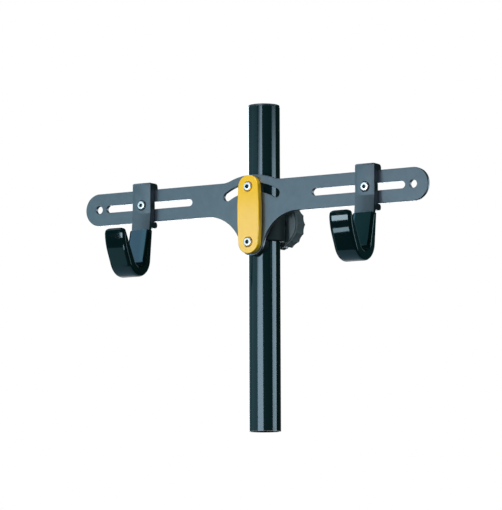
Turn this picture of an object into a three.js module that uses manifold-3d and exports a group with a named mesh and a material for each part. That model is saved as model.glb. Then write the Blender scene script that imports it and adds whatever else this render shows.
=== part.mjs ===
// Top section of a bike storage tower: a round mast with one height-adjustable bike holder.
// Millimetres, +Z up, +X to the right, the front of the holder towards -Y.
// The origin is the centre of the mast's lower end. Distances "ahead" are measured from the mast's
// axis towards the front, so a place 24 mm ahead lies at y = -24.

import * as THREE from 'three';
import { mergeVertices } from 'three/addons/utils/BufferGeometryUtils.js';
import Module from 'manifold-3d';

const wasm = await Module();
wasm.setup();

// Clearances, and the amount by which every cutting solid runs past what it cuts.
const faceGap = 0.05;
const seatGap = 0.15;
const runningGap = 0.2;
const slotGap = 0.3;
const overrun = 1.5;

// Mast: a round painted tube closed by a moulded plug.
const mastRadius = 19.05;
const mastWall = 2.0;
const mastHeight = 388.2;
const plugHeadHeight = 2.6;
const plugSpigotLength = 16;
const plugWall = 2.2;
const plugEdgeRound = 1.0;

// Place of the holder on the mast, and of the screws and the knob below and above the arm's middle.
const armHeight = 275;
const pivotDrop = 53.8;
const guideRise = 12;
const knobDrop = 26.6;

// Liner: a split sleeve between the mast and the collar, held by a rib that snaps into a groove.
const linerWall = 1.9;
const linerRibHeight = 4;
const linerRibDepth = 1.0;
const linerRibAbove = 15;
const linerSplit = 4;
const linerMastGap = 0.25;

// Cross arm: one flat plate with two slotted arms and an arched hub.
const plateThickness = 4.75;
const plateEdge = 1.2;
const plateEdgeSteps = 2;
const cutEdge = 0.4;
const armHalfHeight = 19.4;
const endHoleReach = 217.2;
const endHoleRadius = 5.1;
const slotEndSpacing = 15.1;
const slotLength = 114.7;
const slotHalfHeight = 4.3;
const hubRise = 7.8;
const hubFillet = 30;
const throatFillet = 48;
const lobeRadius = 15.4;
const tiltLimit = 30;
const tiltSlotMargin = 0.6;

// Screws: M6 with a domed head and a hexagon socket, sunk a little in round recesses.
const screwRadius = 3;
const screwHoleGap = 0.25;
const headRadius = 5.25;
const headHeight = 3.3;
const headRim = 0.7;
const headCrownRadius = 3.1;
const socketFlat = 2;
const tipChamfer = 0.5;
const socketDepth = 2.2;
const recessGap = 0.7;
const recessDepth = 1.2;

// Bushes and friction washers of the tilt joint.
const bushRadius = 4.9;
const washerRadius = 12;
const washerThickness = 0.8;
const washerBedGap = 0.1;

// Link plate: the two-screw plate in front of the hub.
const linkThickness = 8;
const linkEndRadius = 13.6;
const linkHalfWaist = 15;
const linkEdge = 1.5;
const linkEdgeSteps = 2;

// Clamp body: collar, front carrier for the two screws, and a rear boss for the knob's bolt.
const collarAboveKnob = 24.2;
const collarPivotGap = 0.4;
const collarWall = 3.3;
const carrierPadRadius = 14.8;
const carrierBarRadius = 9.5;
const carrierMastGap = 0.45;
const carrierThickness = 4.3;
const carrierDepth = 10.8;
const collarLinerGap = 0.15;
const bossRadius = 12.5;
const cheekKnobGap = 2.5;
const cheekHalfWidth = 14;
const cheekAboveKnob = 15.8;
const cheekFrontBelowKnob = 21.2;
const cheekRearBelowKnob = 9.2;

// Knob, its bolt, the threaded insert in the boss, and the shoe that the bolt presses on the liner.
const knobRadius = 29;
const knobBossOverlap = 5.5;
const knobLength = 19.5;
const knobLobes = 16;
const knobLobeDepth = 1.5;
const pointsPerLobe = 4;
const knobFlangeThickness = 2.4;
const knobEdge = 1.6;
const knobEdgeSteps = 2;
const knobRecessRadius = 14;
const knobRecessDepth = 8;
const knobDishRadius = 21;
const knobDishDepth = 3;
const knobHubRadius = 11;
const knobTurns = 2;
const boltRadius = 4;
const boltPitch = 1.25;
const boltTipRadius = 2.3;
const boltHeadFlat = 6.5;
const boltHeadHeight = 5.3;
const boltHeadInset = 1.7;
const capRadius = 8.6;
const insertLength = 6.4;
const insertFlat = 6.4;
const shoeRadius = 5.5;
const shoeThickness = 2.3;
const shoeSocketDepth = 1.4;

// Hooks: a cast bracket over the arm that carries on down as a strap inside a soft cover. Drops in
// this and the next group are measured from the arm's lower edge, and reaches from the slots' middle.
const leftHookShift = 4.95;
const rightHookShift = 13.85;
const bracketHalfWidth = 13;
const bracketEdge = 0.7;
const bracketTopThickness = 7.5;
const bracketFrontThickness = 8.75;
const bracketKneeDrop = 10;
const bracketKneeRound = 4;
const strapJoinDrop = 10.6;
const strapJoinRound = 20;
const bracketTopRound = 2.2;
const bracketRearRound = 5;
const lipThickness = 2.5;
const lipRound = 1.1;
const lipNutGap = 0.6;
const noseRadius = 3.9;
const noseReach = 6.8;
const noseFillet = 2.5;
const bendDrop = 45.9;
const bendReach = 24.4;
const strapThickness = 4.4;
const strapInnerRadius = 15.2;
const strapRearLean = 10.8;
const strapFrontLean = 24.7;
const strapTipDrop = 26.1;
const strapTipRound = 2;
const hookScrewHeadRecess = 1.5;

// Soft cover of the hook, wider and thicker than the strap inside it.
const coverHalfWidth = 14.6;
const coverEdge = 2.4;
const coverEdgeSteps = 3;
const coverTopDrop = 10.8;
const coverInnerRadius = 11.3;
const coverOuterRadius = 23.7;
const coverRearOuterLean = 6.2;
const coverRearInnerLean = 13.6;
const coverFrontOuterLean = 20.5;
const coverFrontInnerLean = 29;
const coverTipTopDrop = 13.8;
const coverTipReach = 34.1;
const coverTipThickness = 6;
const coverTipRound = 2.7;
const coverKneeRound = 6;

// T-nut behind each arm: a round neck in the slot and a rectangular flange at the back.
const nutFlangeThickness = 3.1;
const nutFlangeHalfWidth = 8;
const nutFlangeHalfHeight = 6.6;
const nutCorner = 1.5;

// Smoothness: how far a side may stray from the true curve, and the widest turn in one step, degrees.
const curveSag = 0.08;
const widestStep = 15;
const fewestSteps = 2;
const shortestSide = 0.05;
const mergeReach = 1e-4;
const crownSteps = 3;
const roundSegments = 20;
const collarSegments = 40;
const mastSegments = 64;

// Values that several pieces share.
const pivotHeight = armHeight - pivotDrop;
const guideHeight = armHeight + guideRise;
const knobHeight = armHeight - knobDrop;
const collarLow = pivotHeight + screwRadius + collarPivotGap;
const collarHigh = knobHeight + collarAboveKnob;
const carrierFace = mastRadius + carrierMastGap + carrierThickness;
const plateRear = carrierFace + runningGap;
const plateAhead = plateRear + plateThickness;
const slotOuterReach = endHoleReach - slotEndSpacing;
const slotInnerReach = slotOuterReach - slotLength;
const slotMiddleReach = slotOuterReach - slotLength / 2;
const armTop = armHeight + armHalfHeight;
const armBottom = armHeight - armHalfHeight;
const guideRadius = guideHeight - pivotHeight;
const hubRadius = armTop + hubRise - pivotHeight;
const linerBore = mastRadius + linerMastGap;
const linerRadius = linerBore + linerWall;
const collarBore = linerRadius + collarLinerGap;
const collarRadius = collarBore + collarWall;
const linkBack = plateAhead + runningGap;
const linkFace = linkBack + linkThickness;
const rearWasherBed = plateRear - washerBedGap - washerThickness;
const frontWasherBed = plateAhead + washerBedGap + washerThickness;
const slotRadius = bushRadius + slotGap;
const screwHoleRadius = screwRadius + screwHoleGap;
const headRecessRadius = headRadius + recessGap;
const bracketBack = plateAhead + slotGap;
const bracketFaceAhead = bracketBack + bracketFrontThickness;
const bendAhead = bracketFaceAhead + bendReach;
const bendHeight = armBottom - bendDrop;
const coverTipAhead = bendAhead + coverTipReach;
const shoeFront = linerRadius + seatGap;
const shoeBack = shoeFront + shoeThickness;
const insertFront = shoeBack + knobTurns * boltPitch + slotGap + seatGap;
const bossBehind = insertFront + insertLength;
const knobFront = bossBehind - knobBossOverlap;
const knobRear = knobFront + knobLength;
const cheekBehind = knobFront - cheekKnobGap;

const finishes = {
  glossBlackPaint: { color: '#15191d', roughness: 0.18, metalness: 0.0 },
  greyBluePaint: { color: '#5d7080', roughness: 0.5, metalness: 0.1 },
  yellowPaint: { color: '#f0c540', roughness: 0.4, metalness: 0.0 },
  matteBlackCasting: { color: '#262f33', roughness: 0.7, metalness: 0.1 },
  zincSteel: { color: '#d3d6d8', roughness: 0.28, metalness: 1.0 },
  blackNylon: { color: '#1b1e20', roughness: 0.6, metalness: 0.0 },
  whiteNylon: { color: '#dcdcd4', roughness: 0.5, metalness: 0.0 },
  glossVinyl: { color: '#0f1416', roughness: 0.12, metalness: 0.0 },
  brassInsert: { color: '#b59a55', roughness: 0.35, metalness: 1.0 },
};

// From surfaces to solids and back: every piece passes through both ways.

function solidOf(geometry) {
  const bare = geometry.clone();
  bare.deleteAttribute('normal');
  bare.deleteAttribute('uv');
  const merged = mergeVertices(bare, mergeReach);
  const vertProperties = new Float32Array(merged.getAttribute('position').array);
  const triVerts = wholeTriangles(merged.index.array);
  if (signedVolume(vertProperties, triVerts) < 0) triVerts.reverse();
  return new wasm.Manifold(new wasm.Mesh({ numProp: 3, vertProperties, triVerts }));
}

// A revolved profile leaves triangles without area where it meets its axis.
function wholeTriangles(index) {
  const kept = [];
  for (let i = 0; i < index.length; i += 3) {
    const [a, b, c] = [index[i], index[i + 1], index[i + 2]];
    if (a !== b && b !== c && c !== a) kept.push(a, b, c);
  }
  return new Uint32Array(kept);
}

// Negative where a profile or outline was drawn the other way round and the faces point inwards.
function signedVolume(positions, triangles) {
  const corner = (i) => new THREE.Vector3().fromArray(positions, 3 * triangles[i]);
  let sum = 0;
  for (let i = 0; i < triangles.length; i += 3) {
    sum += corner(i).dot(corner(i + 1).cross(corner(i + 2)));
  }
  return sum;
}

function geometryOf(solid) {
  const mesh = solid.getMesh();
  const geometry = new THREE.BufferGeometry();
  geometry.setAttribute('position', new THREE.BufferAttribute(mesh.vertProperties, mesh.numProp));
  geometry.setIndex(new THREE.BufferAttribute(mesh.triVerts, 1));
  const flat = geometry.toNonIndexed();
  flat.computeVertexNormals();
  return flat;
}

// Flat outlines.

const radians = THREE.MathUtils.degToRad;
const degrees = THREE.MathUtils.radToDeg;

function arc(x, y, radius, from, to) {
  const step = Math.min(widestStep, 2 * degrees(Math.acos(Math.max(0, 1 - curveSag / radius))));
  const count = Math.max(fewestSteps, Math.ceil(Math.abs(to - from) / step));
  const points = [];
  for (let i = 0; i <= count; i += 1) {
    const angle = radians(from + (to - from) * i / count);
    points.push(new THREE.Vector2(x + radius * Math.cos(angle), y + radius * Math.sin(angle)));
  }
  return points;
}

function withoutDoubles(points) {
  return points.filter((point, i) => {
    const next = points[(i + 1) % points.length];
    return point.distanceTo(next) > shortestSide;
  });
}

// The corners of a closed polygon with their neighbours' directions: [x, y, radius] each.
function cornersOf(polygon) {
  return polygon.map(([x, y, radius], i) => {
    const [px, py] = polygon[(i + polygon.length - 1) % polygon.length];
    const [nx, ny] = polygon[(i + 1) % polygon.length];
    const at = new THREE.Vector2(x, y);
    const back = new THREE.Vector2(px, py).sub(at);
    const on = new THREE.Vector2(nx, ny).sub(at);
    const side = on.length();
    back.normalize();
    on.normalize();
    const half = Math.acos(THREE.MathUtils.clamp(back.dot(on), -1, 1)) / 2;
    return { at, back, on, side, half, reach: radius / Math.tan(half) };
  });
}

// Rounds each corner to its own radius, or to as much of it as the sides beside it leave room for.
function roundedPoints(polygon) {
  const corners = cornersOf(polygon);
  const shares = corners.map(() => 1);
  corners.forEach((corner, i) => {
    const next = (i + 1) % corners.length;
    const share = corner.side / (corner.reach + corners[next].reach || 1);
    if (share < shares[i]) shares[i] = share;
    if (share < shares[next]) shares[next] = share;
  });
  return withoutDoubles(corners.flatMap((corner, i) => roundedCorner(corner, corner.reach * shares[i])));
}

function roundedCorner({ at, back, on, half }, reach) {
  if (reach <= 0) return [at];
  const radius = reach * Math.tan(half);
  const middle = back.clone().add(on).normalize().multiplyScalar(radius / Math.sin(half)).add(at);
  const start = at.clone().addScaledVector(back, reach).sub(middle);
  const end = at.clone().addScaledVector(on, reach).sub(middle);
  const from = degrees(start.angle());
  let turn = degrees(end.angle()) - from;
  if (turn > 180) turn -= 360;
  if (turn < -180) turn += 360;
  return arc(middle.x, middle.y, radius, from, from + turn);
}

function circlePoints(x, y, radius) {
  return withoutDoubles(arc(x, y, radius, 0, 360));
}

// Solids from outlines.

function extruded(shape, length, edge, edgeSteps) {
  return new THREE.ExtrudeGeometry(shape, {
    depth: length - 2 * edge,
    bevelEnabled: edge > 0,
    bevelThickness: edge,
    bevelSize: edge,
    bevelOffset: -edge,
    bevelSegments: edgeSteps,
    curveSegments: 1,
  }).translate(0, 0, edge);
}

// An outline drawn as seen from the front (x right, y up), standing between two distances ahead.
const frontTurn = new THREE.Matrix4().makeBasis(
  new THREE.Vector3(1, 0, 0),
  new THREE.Vector3(0, 0, 1),
  new THREE.Vector3(0, -1, 0),
);

function facingFront(shape, back, front, edge = 0, edgeSteps = 1) {
  const upright = extruded(shape, front - back, edge, edgeSteps).applyMatrix4(frontTurn);
  return solidOf(upright.translate(0, -back, 0));
}

// An outline drawn as seen from the left side (x ahead, y up), as wide as twice halfWidth.
const sideTurn = new THREE.Matrix4().makeBasis(
  new THREE.Vector3(0, -1, 0),
  new THREE.Vector3(0, 0, 1),
  new THREE.Vector3(-1, 0, 0),
);

function sideways(shape, halfWidth, edge = 0, edgeSteps = 1) {
  const upright = extruded(shape, halfWidth + halfWidth, edge, edgeSteps).applyMatrix4(sideTurn);
  return solidOf(upright.translate(halfWidth, 0, 0));
}

// A solid of revolution about an axis that points ahead; the profile is [radius, ahead].
function turnedAhead(profile, x, z, segments = roundSegments) {
  const points = profile.map(([radius, ahead]) => new THREE.Vector2(radius, ahead));
  return solidOf(new THREE.LatheGeometry(points, segments).rotateX(Math.PI)).translate([x, 0, z]);
}

function rodAhead(radius, back, front, x, z, segments = roundSegments) {
  return turnedAhead([[0, back], [radius, back], [radius, front], [0, front]], x, z, segments);
}

function tubeAhead(bore, radius, back, front, x, z) {
  return turnedAhead([[bore, back], [radius, back], [radius, front], [bore, front], [bore, back]], x, z);
}

function prismAhead(flat, back, front, x, z) {
  return rodAhead(flat / Math.cos(Math.PI / 6), back, front, x, z, 6);
}

// A solid of revolution about the mast's axis; the profile is [radius, height].
function turnedUp(profile, segments = mastSegments) {
  const points = profile.map(([radius, height]) => new THREE.Vector2(radius, height));
  return solidOf(new THREE.LatheGeometry(points, segments).rotateX(Math.PI / 2));
}

function ringUp(bore, radius, low, high, segments = collarSegments) {
  return turnedUp([[bore, low], [radius, low], [radius, high], [bore, high], [bore, low]], segments);
}

function rodUp(radius, low, high) {
  return turnedUp([[0, low], [radius, low], [radius, high], [0, high]], collarSegments);
}

// Mast.

function mastTube() {
  return ringUp(mastRadius - mastWall, mastRadius, 0, mastHeight - plugHeadHeight, mastSegments);
}

function mastPlug() {
  const spigot = mastRadius - mastWall - seatGap;
  const headLow = mastHeight - plugHeadHeight;
  return turnedUp([
    [0, mastHeight - plugWall],
    [spigot - plugWall, mastHeight - plugWall],
    [spigot - plugWall, headLow - plugSpigotLength],
    [spigot, headLow - plugSpigotLength],
    [spigot, headLow],
    [mastRadius, headLow],
    [mastRadius, mastHeight - plugEdgeRound],
    [mastRadius - plugEdgeRound, mastHeight],
    [0, mastHeight],
  ]);
}

// Liner.

function clampLiner() {
  const ribLow = knobHeight + linerRibAbove - linerRibHeight / 2;
  const sleeve = ringUp(linerBore, linerRadius, collarLow + faceGap, collarHigh - faceGap);
  const rib = ringUp(linerBore, linerRadius + linerRibDepth, ribLow, ribLow + linerRibHeight);
  const split = solidOf(new THREE.BoxGeometry(linerRadius + linerRadius, linerSplit, mastHeight)
    .translate(linerRadius, 0, mastHeight / 2));
  return sleeve.add(rib).subtract(split);
}

// Clamp body.

function carrierShape() {
  const lean = degrees(Math.asin((carrierPadRadius - carrierBarRadius) / guideRadius));
  return new THREE.Shape([
    ...arc(0, pivotHeight, carrierPadRadius, 180 - lean, 360 + lean),
    ...arc(0, guideHeight, carrierBarRadius, lean, 180 - lean),
  ]);
}

// The two cheeks that join the collar's sides to the boss, with a rising lower edge.
function collarCheeks() {
  const plan = new THREE.Shape([
    new THREE.Vector2(-collarRadius, 0),
    new THREE.Vector2(collarRadius, 0),
    new THREE.Vector2(cheekHalfWidth, cheekBehind),
    new THREE.Vector2(-cheekHalfWidth, cheekBehind),
  ]);
  const side = new THREE.Shape([
    new THREE.Vector2(overrun, knobHeight - cheekFrontBelowKnob),
    new THREE.Vector2(overrun, knobHeight + cheekAboveKnob),
    new THREE.Vector2(-cheekBehind - overrun, knobHeight + cheekAboveKnob),
    new THREE.Vector2(-cheekBehind - overrun, knobHeight - cheekRearBelowKnob),
  ]);
  return solidOf(extruded(plan, mastHeight, 0, 1)).intersect(sideways(side, collarRadius + overrun));
}

function collarBlock() {
  const frontTrim = solidOf(new THREE.BoxGeometry(mastHeight, mastHeight, mastHeight)
    .translate(0, -carrierFace - mastHeight / 2, mastHeight / 2));
  return rodUp(collarRadius, collarLow, collarHigh)
    .subtract(frontTrim)
    .add(facingFront(carrierShape(), carrierFace - carrierDepth, carrierFace))
    .add(collarCheeks())
    .add(rodAhead(bossRadius, -bossBehind, 0, 0, knobHeight));
}

function collarHollows() {
  const ribLow = knobHeight + linerRibAbove - linerRibHeight / 2;
  return rodUp(mastRadius + carrierMastGap, 0, mastHeight)
    .add(rodUp(collarBore, collarLow, collarHigh))
    .add(rodUp(collarBore + linerRibDepth, ribLow - seatGap, ribLow + linerRibHeight + seatGap));
}

function clampBody() {
  const insertEnd = seatGap - insertFront;
  return collarBlock()
    .subtract(collarHollows())
    .subtract(prismAhead(insertFlat + seatGap, -bossBehind - overrun, insertEnd, 0, knobHeight))
    .subtract(rodAhead(shoeRadius + runningGap, insertEnd - overrun, -mastRadius, 0, knobHeight))
    .subtract(rodAhead(washerRadius + slotGap, rearWasherBed - faceGap, carrierFace + overrun, 0, pivotHeight))
    .subtract(rodAhead(screwHoleRadius, 0, carrierFace + overrun, 0, pivotHeight))
    .subtract(rodAhead(screwHoleRadius, 0, carrierFace + overrun, 0, guideHeight));
}

function insertNut() {
  return prismAhead(insertFlat, -bossBehind, -insertFront, 0, knobHeight)
    .subtract(rodAhead(boltRadius + seatGap, -knobRear, 0, 0, knobHeight));
}

// Link plate, with slightly bulging sides.

function linkShape() {
  const half = guideRadius / 2;
  const sag = linkHalfWaist - linkEndRadius;
  const bow = (half * half + sag * sag) / (sag + sag);
  const spread = degrees(Math.asin(half / bow));
  const middle = pivotHeight + half;
  return new THREE.Shape(withoutDoubles([
    ...arc(0, pivotHeight, linkEndRadius, 180, 360),
    ...arc(linkHalfWaist - bow, middle, bow, -spread, spread),
    ...arc(0, guideHeight, linkEndRadius, 0, 180),
    ...arc(bow - linkHalfWaist, middle, bow, 180 - spread, 180 + spread),
  ]));
}

function linkPlate() {
  let plate = facingFront(linkShape(), linkBack, linkFace, linkEdge, linkEdgeSteps);
  for (const height of [pivotHeight, guideHeight]) {
    plate = plate
      .subtract(rodAhead(screwHoleRadius, 0, linkFace + overrun, 0, height))
      .subtract(rodAhead(headRecessRadius, linkFace - recessDepth, linkFace + overrun, 0, height));
  }
  return plate.subtract(rodAhead(washerRadius + slotGap, 0, frontWasherBed + faceGap, 0, pivotHeight));
}

// A domed screw whose head rests at seat and whose tip is the given distance ahead.
function domedScrew(tip, seat, x, z) {
  const crown = [];
  for (let i = 0; i <= crownSteps; i += 1) {
    const angle = Math.PI / 2 * i / crownSteps;
    crown.push([
      headCrownRadius + (headRadius - headCrownRadius) * Math.cos(angle),
      seat + headRim + (headHeight - headRim) * Math.sin(angle),
    ]);
  }
  const turned = turnedAhead([
    [0, tip],
    [screwRadius - tipChamfer, tip],
    [screwRadius, tip + tipChamfer],
    [screwRadius, seat],
    [headRadius, seat],
    ...crown,
    [0, seat + headHeight],
  ], x, z);
  const top = seat + headHeight;
  return turned.subtract(prismAhead(socketFlat, top - socketDepth, top + overrun, x, z));
}

function linkScrew(height) {
  const tip = mastRadius + carrierMastGap + seatGap;
  return domedScrew(tip, linkFace - recessDepth + faceGap, 0, height);
}

function pivotBush() {
  return tubeAhead(screwHoleRadius, bushRadius, rearWasherBed, frontWasherBed, 0, pivotHeight);
}

function guideBush() {
  return tubeAhead(screwHoleRadius, bushRadius, carrierFace + faceGap, linkBack - faceGap, 0, guideHeight);
}

function frictionWasher(back) {
  return tubeAhead(bushRadius + seatGap, washerRadius, back, back + washerThickness, 0, pivotHeight);
}

// Cross arm.

function crossArmOutline() {
  const throatX = Math.sqrt((throatFillet + lobeRadius) ** 2 - (pivotHeight - armBottom + throatFillet) ** 2);
  const throatZ = armBottom - throatFillet;
  const throatTurn = degrees(Math.atan2(pivotHeight - throatZ, throatX));
  const crownZ = armTop + hubFillet;
  const crownX = Math.sqrt((hubRadius + hubFillet) ** 2 - (crownZ - pivotHeight) ** 2);
  const crownTurn = degrees(Math.atan2(crownZ - pivotHeight, crownX));
  return withoutDoubles([
    ...arc(-endHoleReach, armHeight, armHalfHeight, 90, 270),
    ...arc(-throatX, throatZ, throatFillet, 90, throatTurn),
    ...arc(0, pivotHeight, lobeRadius, 180 + throatTurn, 360 - throatTurn),
    ...arc(throatX, throatZ, throatFillet, 180 - throatTurn, 90),
    ...arc(endHoleReach, armHeight, armHalfHeight, -90, 90),
    ...arc(crownX, crownZ, hubFillet, 270, 180 + crownTurn),
    ...arc(0, pivotHeight, hubRadius, crownTurn, 180 - crownTurn),
    ...arc(-crownX, crownZ, hubFillet, 360 - crownTurn, 270),
  ]);
}

function tiltSlotPoints() {
  const span = tiltLimit + tiltSlotMargin;
  const left = 90 + span;
  const right = 90 - span;
  const capAt = (turn, from) => arc(
    guideRadius * Math.cos(radians(turn)),
    pivotHeight + guideRadius * Math.sin(radians(turn)),
    slotRadius,
    from,
    from + 180,
  );
  return withoutDoubles([
    ...arc(0, pivotHeight, guideRadius + slotRadius, right, left),
    ...capAt(left, left),
    ...arc(0, pivotHeight, guideRadius - slotRadius, left, right),
    ...capAt(right, right + 180),
  ]);
}

function hookSlotPoints(side) {
  const inner = side * slotInnerReach;
  const outer = side * slotOuterReach;
  const turn = side > 0 ? 90 : -90;
  return withoutDoubles([
    ...arc(inner, armHeight, slotHalfHeight, turn, turn + 180),
    ...arc(outer, armHeight, slotHalfHeight, turn + 180, turn + 360),
  ]);
}

// A straight cut through the plate, opened out a little where it meets either face.
function plateCut(points) {
  const shape = new THREE.Shape(points);
  let cut = facingFront(shape, plateRear - overrun, plateAhead + overrun);
  for (const face of [plateRear, plateAhead]) {
    const flare = new THREE.ExtrudeGeometry(shape, {
      depth: 0,
      bevelThickness: cutEdge,
      bevelSize: cutEdge,
      bevelSegments: 1,
      curveSegments: 1,
    });
    cut = cut.add(solidOf(flare.applyMatrix4(frontTurn).translate(0, -face, 0)));
  }
  return cut;
}

function crossArm() {
  let plate = facingFront(new THREE.Shape(crossArmOutline()), plateRear, plateAhead, plateEdge, plateEdgeSteps)
    .subtract(plateCut(tiltSlotPoints()))
    .subtract(plateCut(circlePoints(0, pivotHeight, bushRadius + runningGap)));
  for (const side of [-1, 1]) {
    plate = plate
      .subtract(plateCut(hookSlotPoints(side)))
      .subtract(plateCut(circlePoints(side * endHoleReach, armHeight, endHoleRadius)));
  }
  return plate;
}

// Hooks. A leaning straight line tangent to a circle about the bend's centre, at a given height:
// side is -1 for the leg behind the centre and 1 for the leg ahead of it.

function leaningLine(side, radius, lean, height) {
  const rise = (height - bendHeight) * Math.sin(radians(lean));
  return bendAhead + side * (radius + rise) / Math.cos(radians(lean));
}

function heightOnFrontLine(radius, lean, ahead) {
  const out = (ahead - bendAhead) * Math.cos(radians(lean)) - radius;
  return bendHeight + out / Math.sin(radians(lean));
}

function lineCorner(side, radius, lean, height, round) {
  return [leaningLine(side, radius, lean, height), height, round];
}

function strapCorners(spare) {
  const inner = strapInnerRadius - spare;
  const outer = strapInnerRadius + strapThickness + spare;
  const tip = armBottom - strapTipDrop + spare;
  return [
    lineCorner(-1, inner, strapRearLean, bendHeight - inner, inner),
    lineCorner(1, inner, strapFrontLean, bendHeight - inner, inner),
    lineCorner(1, inner, strapFrontLean, tip, strapTipRound),
    lineCorner(1, outer, strapFrontLean, tip, strapTipRound),
    lineCorner(1, outer, strapFrontLean, bendHeight - outer, outer),
    lineCorner(-1, outer, strapRearLean, bendHeight - outer, outer),
  ];
}

function bracketShape() {
  const outer = strapInnerRadius + strapThickness;
  const top = armTop + slotGap + bracketTopThickness;
  const lipFront = plateRear - runningGap;
  const lipBack = lipFront - lipThickness;
  const lipLow = armHeight + nutFlangeHalfHeight + lipNutGap;
  const noseHigh = armBottom - slotGap;
  const noseLow = noseHigh - noseRadius - noseRadius;
  const noseBack = bracketBack - noseReach;
  return new THREE.Shape(roundedPoints([
    [lipBack, lipLow, lipRound],
    [lipBack, top, bracketRearRound],
    [bracketFaceAhead, top, bracketTopRound],
    [bracketFaceAhead, armHeight - bracketKneeDrop, bracketKneeRound],
    lineCorner(-1, strapInnerRadius, strapRearLean, armBottom - strapJoinDrop, strapJoinRound),
    ...strapCorners(0),
    lineCorner(-1, outer, strapRearLean, noseLow, noseFillet),
    [noseBack, noseLow, noseRadius],
    [noseBack, noseHigh, noseRadius],
    [bracketBack, noseHigh, 0],
    [bracketBack, armTop + slotGap, 0],
    [lipFront, armTop + slotGap, 0],
    [lipFront, lipLow, lipRound],
  ]));
}

function hookBracket() {
  return sideways(bracketShape(), bracketHalfWidth, bracketEdge)
    .subtract(rodAhead(screwHoleRadius, plateRear, bracketFaceAhead + overrun, 0, armHeight))
    .subtract(rodAhead(headRecessRadius, bracketFaceAhead - hookScrewHeadRecess,
      bracketFaceAhead + overrun, 0, armHeight));
}

function coverShape() {
  const top = armBottom - coverTopDrop;
  const tipTop = armBottom - coverTipTopDrop;
  const tipInside = coverTipAhead - coverTipThickness;
  const outer = coverOuterRadius;
  const inner = coverInnerRadius;
  return new THREE.Shape(roundedPoints([
    lineCorner(-1, outer, coverRearOuterLean, top, 0),
    lineCorner(-1, outer, coverRearOuterLean, bendHeight - outer, outer),
    lineCorner(1, outer, coverFrontOuterLean, bendHeight - outer, outer),
    [coverTipAhead, heightOnFrontLine(outer, coverFrontOuterLean, coverTipAhead), coverKneeRound],
    [coverTipAhead, tipTop, coverTipRound],
    [tipInside, tipTop, coverTipRound],
    [tipInside, heightOnFrontLine(inner, coverFrontInnerLean, tipInside), coverKneeRound],
    lineCorner(1, inner, coverFrontInnerLean, bendHeight - inner, inner),
    lineCorner(-1, inner, coverRearInnerLean, bendHeight - inner, inner),
    lineCorner(-1, inner, coverRearInnerLean, top, 0),
  ]));
}

function hookCover() {
  const high = armBottom - coverTopDrop + overrun;
  const outer = strapInnerRadius + strapThickness + seatGap;
  const pocket = new THREE.Shape(roundedPoints([
    lineCorner(-1, strapInnerRadius - seatGap, strapRearLean, high, 0),
    ...strapCorners(seatGap),
    lineCorner(-1, outer, strapRearLean, high, 0),
  ]));
  return sideways(coverShape(), coverHalfWidth, coverEdge, coverEdgeSteps)
    .subtract(sideways(pocket, bracketHalfWidth + seatGap));
}

function hookScrew() {
  const tip = plateRear - runningGap - nutFlangeThickness + seatGap;
  return domedScrew(tip, bracketFaceAhead - hookScrewHeadRecess + faceGap, 0, armHeight);
}

function hookNut() {
  const flangeFront = plateRear - runningGap;
  const [w, h] = [nutFlangeHalfWidth, nutFlangeHalfHeight];
  const flange = new THREE.Shape(roundedPoints([
    [-w, armHeight - h, nutCorner],
    [w, armHeight - h, nutCorner],
    [w, armHeight + h, nutCorner],
    [-w, armHeight + h, nutCorner],
  ]));
  return facingFront(flange, flangeFront - nutFlangeThickness, flangeFront)
    .add(rodAhead(slotHalfHeight - slotGap, flangeFront - faceGap, plateAhead, 0, armHeight))
    .subtract(rodAhead(screwHoleRadius, 0, bracketFaceAhead, 0, armHeight));
}

// Knob and what it drives. Distances behind the mast's axis are negative ones ahead.

const boltHeadBack = knobRear - boltHeadInset;
const boltHeadFront = boltHeadBack - boltHeadHeight;

function knobShape() {
  const points = [];
  const count = knobLobes * pointsPerLobe;
  for (let i = 0; i < count; i += 1) {
    const angle = 2 * Math.PI * i / count;
    const dip = Math.abs(Math.sin(knobLobes * angle / 2));
    const radius = knobRadius - knobLobeDepth * dip;
    points.push(new THREE.Vector2(radius * Math.cos(angle), knobHeight + radius * Math.sin(angle)));
  }
  return new THREE.Shape(points);
}

function knobFlange() {
  const rim = knobRadius - knobLobeDepth / 2;
  return turnedAhead([
    [0, -knobFront - knobFlangeThickness],
    [rim, -knobFront - knobFlangeThickness],
    [rim, -knobFront - knobEdge / 2],
    [rim - knobEdge / 2, -knobFront],
    [0, -knobFront],
  ], 0, knobHeight, mastSegments);
}

function knob() {
  const flangeBack = knobFront + knobFlangeThickness;
  return facingFront(knobShape(), -knobRear, knobEdge - flangeBack, knobEdge, knobEdgeSteps)
    .add(knobFlange())
    .subtract(rodAhead(knobRecessRadius, -knobFront - knobRecessDepth, 0, 0, knobHeight))
    .subtract(rodAhead(boltRadius + seatGap, -knobRear, 0, 0, knobHeight))
    .subtract(prismAhead(boltHeadFlat + seatGap, -knobRear - overrun, seatGap - boltHeadFront, 0, knobHeight))
    .subtract(rodAhead(capRadius + seatGap, -knobRear - overrun, seatGap - boltHeadBack, 0, knobHeight))
    .subtract(tubeAhead(knobHubRadius, knobDishRadius, -knobRear - overrun,
      knobDishDepth - knobRear, 0, knobHeight));
}

function knobBolt() {
  const shoulder = -shoeBack - seatGap;
  const tip = shoeSocketDepth - shoeBack - seatGap;
  return turnedAhead([
    [0, -boltHeadBack],
    [boltRadius, -boltHeadBack],
    [boltRadius, shoulder],
    [boltTipRadius, shoulder],
    [boltTipRadius, tip],
    [0, tip],
  ], 0, knobHeight).add(prismAhead(boltHeadFlat, -boltHeadBack, -boltHeadFront, 0, knobHeight));
}

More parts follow.
